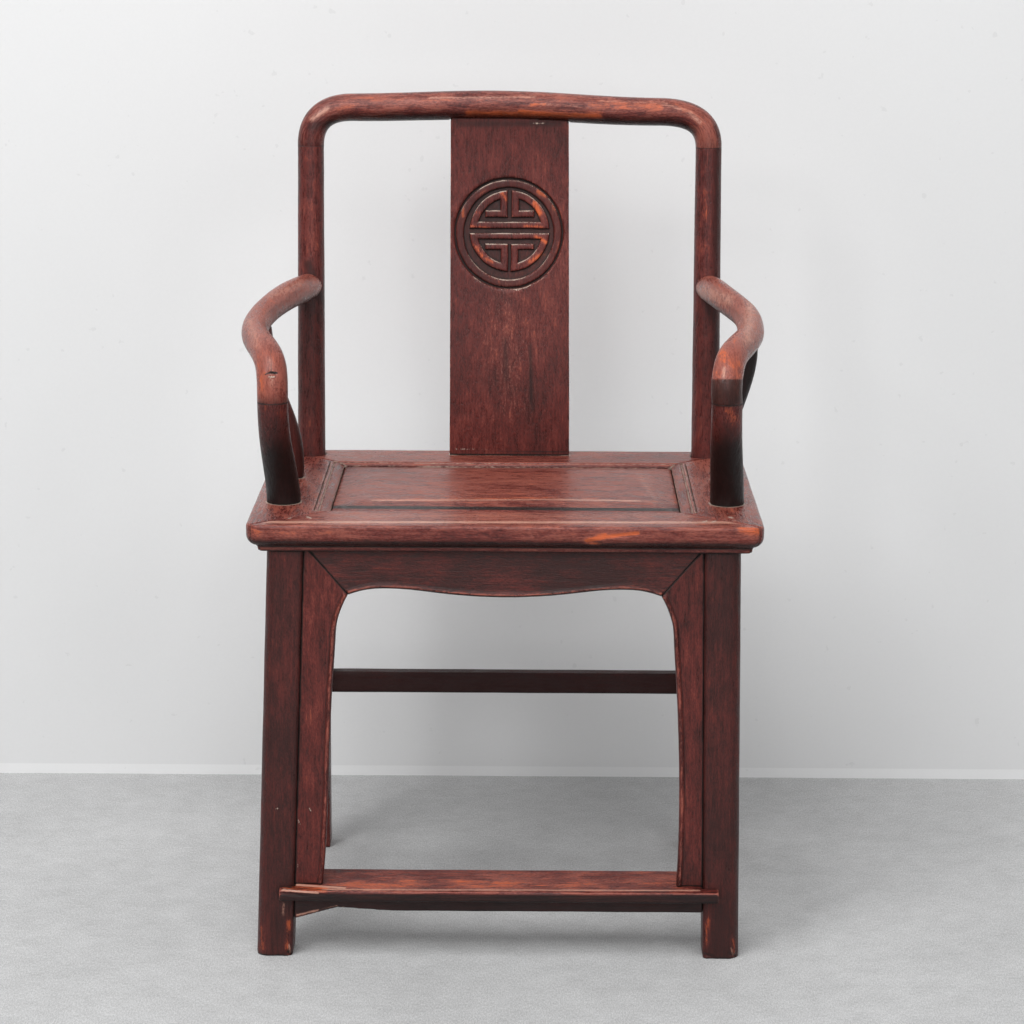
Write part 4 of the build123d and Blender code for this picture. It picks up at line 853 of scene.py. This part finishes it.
# Radius and half width of the ring, of the band inside it and of the fine line outside it
RING_RADIUS, RING_HALF = 59.2, 4.7
BAND_RADIUS, BAND_HALF = 42.6, 4.5
LINE_RADIUS, LINE_HALF = 65.3, 2.2
# Half height of the level slot, overrun of the upright slots, width of the posts, and reach of the stubs
SLOT_LEVEL_HALF = 2.5
SLOT_OVERRUN = 4.0
POST_WIDTH = 8.8
STUB_REACH = 29.0
# Upper and lower half: half width of the upright slot, top of the bar, foot and top of the stub
HALVES = {1: (2.3, 10.6, 15.6, 24.0), -1: (1.6, 9.6, 14.8, 21.8)}
# Carved walls: how far inside an edge they start, how wide they slope, and the ground's margin past the ring
WALL_START, WALL_SLOPE = 0.75, 1.6
GROUND_MARGIN = 1.2
# Shares of the carving's depth: of the rounding of raised parts, with its reach, and of the fine line
CROWN_SHARE, CROWN_REACH = 0.30, 2.8
LINE_SHARE = 0.8
# Waver of the carver's hand: its length and its shift in millimetres, and its share of the depth
WAVER_LENGTH, WAVER_SHIFT, WAVER_SHARE = 17.0, 0.45, 0.12
# Upward edges that catch the light, painted pale as highlights: height they are seen over, least change
# of depth, and its full range
SHELF_RISE, SHELF_START, SHELF_FULL = 0.9, 0.12, 0.3
# Darkening of the ring: margin past its edges, and strength
RING_MARGIN, RING_STAIN = 0.6, 0.34
# Numbers that set the board's own waves and the carver's waver
SPLAT_SEED = 3
WAVER_SEED = 3


def box_distance(x, z, x_range, z_range):
    """Distance to a rectangle's edge, below 0 inside."""
    across = np.maximum(x_range[0] - x, x - x_range[1])
    upright = np.maximum(z_range[0] - z, z - z_range[1])
    return np.maximum(across, upright)


def ornament_distance(x, z):
    """Distance to the edge of the raised bars, stubs and band of the inner disc, below 0 inside."""
    radius, out = np.hypot(x, z), np.abs(x)
    disc = radius - BAND_RADIUS - BAND_HALF
    ornament = np.abs(radius - BAND_RADIUS) - BAND_HALF
    slots = np.abs(z) - SLOT_LEVEL_HALF
    for side, (slot, bar, stub_low, stub_high) in HALVES.items():
        level = z * side
        parts = [box_distance(out, level, (-1, BAND_RADIUS), (0, bar)),
                 box_distance(out, level, (0, slot + POST_WIDTH), (stub_low, BAND_RADIUS)),
                 box_distance(out, level, (0, STUB_REACH), (stub_low, stub_high))]
        ornament = np.minimum(ornament, np.maximum(np.minimum.reduce(parts), disc))
        slots = np.minimum(slots, np.maximum(out - slot, stub_low - SLOT_OVERRUN - level))
    return np.maximum(ornament, -slots)


def carving_depth(x, z):
    """Share of the carving depth taken away at each point round the medallion's middle."""
    z = z / MEDALLION_STRETCH
    rim = np.hypot(x, z)
    ornament = ornament_distance((x - DISC_SHIFT[0]) / DISC_GROWTH, (z - DISC_SHIFT[1]) / DISC_GROWTH)
    raised = np.minimum(ornament, np.abs(rim - RING_RADIUS) - RING_HALF)
    ramp = np.clip((raised + WALL_START) / WALL_SLOPE, 0.0, 1.0)
    ground = ramp * ramp * (3 - 2 * ramp)
    crown = CROWN_SHARE * np.clip(1 + raised / CROWN_REACH, 0.0, 1.0) ** 2
    inside = (rim < RING_RADIUS + RING_HALF + GROUND_MARGIN).astype(float)
    groove = np.clip(1 - np.abs(rim - LINE_RADIUS) / LINE_HALF, 0.0, 1.0)
    line = LINE_SHARE * np.sin(groove * math.pi / 2) ** 2
    return np.maximum(np.clip(ground + crown, 0.0, 1.0) * inside, line)


def splat_shape():
    """Curves of the splat, fitted to its solid: front, left edge and right edge at each height."""
    places = vertex_array(merged_copy("back_splat"), "co").astype(float)
    middle = (places[:, 0].min() + places[:, 0].max()) / 2
    outer = np.abs(places[:, 0] - middle) > SPLAT_SIDE_REACH * MM
    sides = places[outer & (places[:, 2] > SPLAT_SIDE_LEVEL)]
    halfway = np.polyfit(sides[:, 2], sides[:, 1], 4)
    front = sides[sides[:, 1] < np.polyval(halfway, sides[:, 2])]
    curve = np.polyfit(front[:, 2], front[:, 1], 4)
    ends = [places[np.abs(places[:, 2] - level * MM) < SPLAT_LEVEL_HALF * MM] for level in SPLAT_LEVELS]
    edges = []
    for pick in (np.argmin, np.argmax):
        corners = np.array([end[pick(end[:, 0])] for end in ends])
        edges.append(np.polyfit(corners[:, 2], corners[:, 0], 1))
    return curve, edges


def flat_board(height):
    """Flat board with rounded edges in even cells, upright round its middle."""
    body = bmesh.new()
    bmesh.ops.create_grid(body, x_segments=SPLAT_CELLS[0], y_segments=SPLAT_CELLS[1], size=0.5)
    turn = Matrix.Rotation(math.radians(90), 4, "X")
    grow = Matrix.Diagonal((SPLAT_WIDTH * MM, 1.0, height, 1.0))
    bmesh.ops.transform(body, matrix=grow @ turn, verts=body.verts)
    bmesh.ops.solidify(body, geom=list(body.faces), thickness=SPLAT_THICKNESS * MM)
    rim = [edge for edge in body.edges if edge.calc_face_angle(0.0) > 1.0]
    bmesh.ops.bevel(body, geom=rim, offset=SPLAT_ROUNDING * MM, segments=3, profile=0.5, affect="EDGES",
                    material=-1)
    bmesh.ops.recalc_face_normals(body, faces=body.faces)
    return body


def splat_board(height, level):
    """Mesh of the flat board, finer in front round a level above its middle, and the y of its front."""
    body = flat_board(height)
    front = min(vertex.co.y for vertex in body.verts)
    middle = Vector((0.0, front, level))
    near = [face for face in body.faces if face.normal.y < FRONT_FACING and
            (face.calc_center_median() - middle).length < FINE_REACH * MM]
    fine = list(dict.fromkeys(edge for face in near for edge in face.edges))
    bmesh.ops.subdivide_edges(body, edges=fine, cuts=FINE_CUTS, use_grid_fill=True)
    mesh = mesh_of(body, "splat")
    mesh.shade_smooth()
    return mesh, front


def medallion(across, height):
    """Share of the carving depth at each place, with masks of lit edges and of the ring, and the waver."""
    x = across / MM - CHAIR_SHIFT.x - MEDALLION_SHIFT
    z = height / MM - MEDALLION_HEIGHT
    noise.seed_set(WAVER_SEED)
    waver = np.array([noise.noise_vector(Vector((a, 0.0, b)) / WAVER_LENGTH) for a, b in zip(x, z)])
    x, z = x + WAVER_SHIFT * waver[:, 0], z + WAVER_SHIFT * waver[:, 2]
    share = carving_depth(x, z)
    shelf = carving_depth(x, z + SHELF_RISE) - share
    lit = np.clip((shelf - SHELF_START) / SHELF_FULL, 0.0, 1.0) * (1 - share)
    lit = lit * np.clip(0.80 + waver[:, 1], 0.0, 1.0)
    ring = np.abs(np.hypot(x, z) - RING_RADIUS) < RING_HALF + RING_MARGIN
    return share, lit, ring, waver[:, 1]


def carved_splat():
    """Curved splat board with its carved medallion."""
    sizes = bpy.context.scene.chair_sizes
    top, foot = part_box("back_splat")[1][2], SPLAT_FOOT * MM
    middle = (top + foot) / 2
    curve, edges = splat_shape()
    mesh, front = splat_board(top - foot, MEDALLION_HEIGHT * MM - middle)
    places = vertex_array(mesh, "co").astype(float)
    height = places[:, 2] + middle
    left, right = (np.polyval(edge, height) for edge in edges)
    across = left + (right - left) * (places[:, 0] / (SPLAT_WIDTH * MM) + 0.5)
    share, lit, ring, waver = medallion(across, height)
    in_front = places[:, 1] < front + FRONT_SKIN * MM
    depth = share * sizes.carving * (1 + WAVER_SHARE * waver) * in_front
    back = np.polyval(curve, height) + places[:, 1] - front + depth
    set_places(mesh, np.stack([across, back, height], axis=1))
    normals = vertex_array(mesh, "normal")
    set_places(mesh, dented(vertex_array(mesh, "co"), normals, sizes.dents, sizes.wave, SPLAT_SEED))
    # Carved ground darker with grime and painted shade; lit upward edges painted pale as highlights
    hollow = np.clip(share * 1.3 - 0.45, 0.0, 0.7)
    return finished(mesh, "back_splat", "splat", "z", hollow=hollow * in_front,
                    stain=ring * RING_STAIN * in_front, pale=lit * 0.9 * in_front)


# Operators


class ChairOperator(bpy.types.Operator):
    """Shared base of the chair's operators."""

    bl_options = {"REGISTER", "UNDO"}


SIDES = ("left", "right")
# Cell size of each piece's worn mesh, as a share of the chair's fineness
CELLS = {"front_leg": 1.1, "front_rail": 1.0, "rail": 1.22, "strip": 0.65, "panel": 1.75, "batten": 1.75,
         "small": 0.6, "back": 1.18, "arm": 0.9, "front_apron": 0.74, "apron": 1.5, "rear_stretcher": 1.4,
         "side_stretcher": 1.2}


class CHAIR_OT_legs(ChairOperator):
    """Front legs"""

    bl_idname = "chair.legs"
    bl_label = "Front legs"

    def execute(self, context):
        for side in SIDES:
            worn_piece("front_leg_" + side, "leg", "z", CELLS["front_leg"])
        return {"FINISHED"}


class CHAIR_OT_seat(ChairOperator):
    """Seat frame, strips, panel, battens and wedges"""

    bl_idname = "chair.seat"
    bl_label = "Seat"

    def execute(self, context):
        for name, axis in (("front", "x"), ("rear", "x"), ("left", "y"), ("right", "y")):
            cells = CELLS["front_rail" if name == "front" else "rail"]
            worn_piece("seat_rail_" + name, "rail", axis, cells)
        for name, axis in (("rear", "x"), ("left", "y"), ("right", "y")):
            worn_piece("seat_strip_" + name, "strip", axis, CELLS["strip"], 1)
        worn_piece("seat_panel", "panel", "x", CELLS["panel"])
        for side in SIDES:
            worn_piece("seat_batten_" + side, "hidden", "y", CELLS["batten"])
        worn_piece("seat_wedges", "hidden", "x", CELLS["small"], 0)
        return {"FINISHED"}


class CHAIR_OT_back(ChairOperator):
    """Crest rail on its two posts, splat and pegs"""

    bl_idname = "chair.back"
    bl_label = "Back"

    def execute(self, context):
        skin = worn_skin(["crest_rail", "rear_post_left", "rear_post_right"], CELLS["back"])
        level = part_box("crest_rail")[0][2]
        crest = part_of(skin, level, True)
        lay_round_bends(crest)
        finished(crest, "crest_rail", "crest", "x")
        for side, sign in zip(SIDES, (-1, 1)):
            finished(part_of(skin, level, False, sign), "rear_post_" + side, "post", "z")
        carved_splat()
        worn_piece("crest_pegs", "hidden", "y", CELLS["small"], 0)
        return {"FINISHED"}


class CHAIR_OT_arms(ChairOperator):
    """Arms with their posts, spindles and pegs"""

    bl_idname = "chair.arms"
    bl_label = "Arms"

    def execute(self, context):
        for side in SIDES:
            arm, post = "armrest_" + side, "arm_post_" + side
            skin = worn_skin([arm, post], CELLS["arm"])
            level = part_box(arm)[0][2]
            finished(part_of(skin, level, True), arm, "arm", "yz")
            finished(part_of(skin, level, False), post, "post", "z")
            worn_piece("side_spindle_" + side, "post", "z", CELLS["arm"])
        worn_piece("arm_pegs", "hidden", "x", CELLS["small"], 0)
        return {"FINISHED"}


class CHAIR_OT_aprons(ChairOperator):
    """Boards of the front arch and the plain aprons"""

    bl_idname = "chair.aprons"
    bl_label = "Aprons"

    def execute(self, context):
        worn_piece("front_apron_top", "lintel", "x", CELLS["front_apron"], 1)
        for side in SIDES:
            worn_piece("front_apron_" + side, "board", "z", CELLS["front_apron"], 1)
            worn_piece("side_apron_" + side, "hidden", "y", CELLS["apron"])
        worn_piece("rear_apron", "hidden", "x", CELLS["apron"])
        return {"FINISHED"}


class CHAIR_OT_stretchers(ChairOperator):
    """Footrest, its apron and the stretchers"""

    bl_idname = "chair.stretchers"
    bl_label = "Footrest and stretchers"

    def execute(self, context):
        worn_piece("footrest", "foot", "x")
        worn_piece("footrest_apron", "leg", "x")
        worn_piece("rear_stretcher", "hidden", "x", CELLS["rear_stretcher"])
        for side in SIDES:
            worn_piece("side_stretcher_" + side, "leg", "y", CELLS["side_stretcher"])
        return {"FINISHED"}


# Stage


# Reach of floor and wall to each side and height of the wall, in metres
FLOOR_REACH, WALL_REACH, WALL_TOP = 9.0, 2.4, 3.2
# From the chair's own middle back to the wall, in millimetres
WALL_DISTANCE = 488.0
# Mean greys of floor and wall
FLOOR_TONE, WALL_TONE = 0.495, 0.73
# Painted light on the wall behind the chair, against the chair's shadow: its middle, and the radii
# between which it fades, in metres
PAINTED_LIGHT_CENTRE = (0.03, 0.0, 0.42)
PAINTED_LIGHT_FADE = (0.12, 0.65)
# Height in metres over which the painted shade at the wall's foot ends
WALL_FOOT_SHADE_TOP = (0.013, 0.0145)
# Lamps: place, target and size in metres, power in watts
LAMPS = {
    "overhead": ((-0.9, -2.0, 3.6), (0, 0.15, 0.4), (3.2, 2.4), 113),
    "front": ((0.4, -4.8, 2.2), (0, 0, 0.5), (4.6, 3.0), 62),
    "left": ((-1.7, -2.6, 2.5), (0, 0, 0.6), (0.7, 1.0), 20),
    "right": ((1.9, -2.6, 2.4), (0, 0, 0.6), (0.7, 1.0), 9),
}
ROOM_COLOUR, ROOM_STRENGTH = (0.96, 0.98, 1.0, 1.0), 0.34
# Camera: width of its sensor in millimetres, and range in metres
SENSOR_WIDTH = 36.0
VIEW_RANGE = (0.1, 60.0)


def flat_stage_piece(name, middle, width, length, tilt, material):
    """One flat stage surface, tilted up at its far side by an angle."""
    body = bmesh.new()
    turn = Matrix.Rotation(math.radians(tilt), 4, "X")
    place = Matrix.Translation(middle) @ turn @ Matrix.Diagonal((width, length, 1.0, 1.0))
    bmesh.ops.create_grid(body, x_segments=1, y_segments=1, size=0.5, matrix=place)
    mesh = mesh_of(body, name)
    mesh.materials.append(material)
    piece = bpy.data.objects.new(name, mesh)
    bpy.context.scene.collection.objects.link(piece)
    return piece


def grey(level):
    """Grey colour of a level."""
    return level.node("ShaderNodeCombineColor", {0: level, 1: level, 2: level})


def concrete(name, tone):
    """Smooth pale concrete with faint clouds and fine grit."""
    material, shader, place = new_material(name)
    clouds = place.noise(3.2, 5.0, 0.62)
    mottle = place.noise(30.0, 4.0, 0.75)
    grit = place.scaled((1.0, 0.3, 1.0)).noise(650.0, 3.0, 0.9).between(0.3, 0.7)
    feed(shader, "Base Color", grey(clouds * 0.18 + mottle * 0.20 + grit * 0.24 + (tone - 0.31)))
    feed(shader, "Roughness", mottle * 0.2 + 0.6)
    shader.inputs["Specular IOR Level"].default_value = 0.25
    bumped(shader, grit * 0.4 + mottle, 0.25, 0.8 * MM)
    return material


def wall_marks(place):
    """Faint scuffs and specks, and painted shade along the wall's foot."""
    lines = place.scaled((1.0, 1.0, 0.5)).noise(5.0, 4.0, 0.6, 1.2)
    zone = place.noise(2.6, 2.0, 0.5).between(0.52, 0.60)
    scuffs = (1 - (lines - 0.5).maths("ABSOLUTE").between(0.0, 0.003)) * zone
    specks = place.noise(75.0, 2.0, 0.5).between(0.72, 0.76)
    # Painted shade along the wall's foot, where it meets the floor
    wall_foot_shade = 1 - place.node("ShaderNodeSeparateXYZ", {0: place}, output=2).between(*WALL_FOOT_SHADE_TOP)
    return scuffs * 0.07 + specks * 0.05 - wall_foot_shade * 0.07


def see_through_behind(material, shader):
    """Let light and views through a surface from behind."""
    tree = material.node_tree
    clear = tree.nodes.new("ShaderNodeBsdfTransparent")
    side = tree.nodes.new("ShaderNodeNewGeometry")
    choice = tree.nodes.new("ShaderNodeMixShader")
    tree.links.new(side.outputs["Backfacing"], choice.inputs[0])
    tree.links.new(shader.outputs[0], choice.inputs[1])
    tree.links.new(clear.outputs[0], choice.inputs[2])
    tree.links.new(choice.outputs[0], tree.nodes["Material Output"].inputs["Surface"])


def painted_wall(name, tone):
    """Pale matt wall with painted light behind the chair, that can be seen through from behind."""
    material, shader, place = new_material(name)
    clouds = place.noise(1.6, 3.0, 0.5)
    grit = place.noise(260.0, 3.0, 0.7)
    way = place.moved([-step for step in PAINTED_LIGHT_CENTRE]).scaled((1.0, 0.0, 1.0))
    distance = way.node("ShaderNodeVectorMath", {0: way}, output=1, operation="LENGTH")
    # Painted light that lightens the wall behind the chair
    painted_light = 1 - distance.between(*PAINTED_LIGHT_FADE)
    level = clouds * 0.04 + grit * 0.03 - wall_marks(place) + painted_light * 0.19 + (tone - 0.035)
    feed(shader, "Base Color", grey(level))
    shader.inputs["Roughness"].default_value = 1.0
    shader.inputs["Specular IOR Level"].default_value = 0.0
    see_through_behind(material, shader)
    return material


def softbox(name, place, target, size, power):
    """Large soft lamp aimed at a point."""
    lamp = bpy.data.lights.new(name, "AREA")
    lamp.shape = "RECTANGLE"
    lamp.size, lamp.size_y = size
    lamp.energy = power
    holder = bpy.data.objects.new(name, lamp)
    aim = (Vector(target) - Vector(place)).to_track_quat("-Z", "Y")
    holder.matrix_world = Matrix.Translation(place) @ aim.to_matrix().to_4x4()
    bpy.context.scene.collection.objects.link(holder)
    return holder


def even_room(scene):
    """Faint even light from all round."""
    world = bpy.data.worlds.new("room")
    world.use_nodes = True
    background = world.node_tree.nodes["Background"]
    background.inputs["Color"].default_value = ROOM_COLOUR
    background.inputs["Strength"].default_value = ROOM_STRENGTH
    scene.world = world


def picture_camera(scene):
    """Camera at the picture's place."""
    across, rising, ahead = camera_axes()
    data = bpy.data.cameras.new("camera")
    data.sensor_width = SENSOR_WIDTH
    data.lens = FOCAL_PIXELS / PICTURE_PIXELS * data.sensor_width
    data.clip_start, data.clip_end = VIEW_RANGE
    camera = bpy.data.objects.new("camera", data)
    turn = Matrix((across, rising, -ahead)).transposed().to_4x4()
    camera.matrix_world = Matrix.Translation((CAMERA_PLACE + CHAIR_SHIFT) * MM) @ turn
    scene.collection.objects.link(camera)
    scene.camera = camera


class CHAIR_OT_stage(ChairOperator):
    """Floor, wall, lamps and camera"""

    bl_idname = "chair.stage"
    bl_label = "Stage"

    def execute(self, context):
        picture_camera(context.scene)
        flat_stage_piece("floor", (0.0, 0.0, 0.0), 2 * FLOOR_REACH, 2 * FLOOR_REACH, 0,
                         concrete("concrete", FLOOR_TONE))
        wall_middle = (0.0, (WALL_DISTANCE + CHAIR_SHIFT.y) * MM, WALL_TOP / 2)
        flat_stage_piece("wall", wall_middle, 2 * WALL_REACH, WALL_TOP, 90,
                         painted_wall("wall_paint", WALL_TONE))
        for name, lamp in LAMPS.items():
            softbox(name, *lamp)
        even_room(context.scene)
        context.scene.view_settings.view_transform = "Standard"
        return {"FINISHED"}


class CHAIR_PT_panel(bpy.types.Panel):
    """Sidebar panel that lists the chair's settings and operators"""

    bl_idname = "CHAIR_PT_panel"
    bl_label = "Armchair"
    bl_space_type = "VIEW_3D"
    bl_region_type = "UI"
    bl_category = "Armchair"

    def draw(self, context):
        column = self.layout.column()
        for group in (context.scene.chair_sizes, context.scene.chair_colours):
            for name in setting_names(group):
                column.prop(group, name)
        for operator in OPERATORS:
            column.operator(operator.bl_idname)


OPERATORS = (CHAIR_OT_stage, CHAIR_OT_legs, CHAIR_OT_seat, CHAIR_OT_back, CHAIR_OT_arms, CHAIR_OT_aprons,
             CHAIR_OT_stretchers)
CLASSES = (ChairSizes, ChairColours, *OPERATORS, CHAIR_PT_panel)


def register():
    """Add the settings, operators and panel."""
    for item in CLASSES:
        bpy.utils.register_class(item)
    bpy.types.Scene.chair_sizes = bpy.props.PointerProperty(type=ChairSizes)
    bpy.types.Scene.chair_colours = bpy.props.PointerProperty(type=ChairColours)


def unregister():
    """Take the settings, operators and panel away."""
    del bpy.types.Scene.chair_colours
    del bpy.types.Scene.chair_sizes
    for item in reversed(CLASSES):
        bpy.utils.unregister_class(item)


def main():
    """Build the scene."""
    register()
    for operator in OPERATORS:
        group, name = operator.bl_idname.split(".")
        getattr(getattr(bpy.ops, group), name)()


if __name__ == "__main__":
    main()
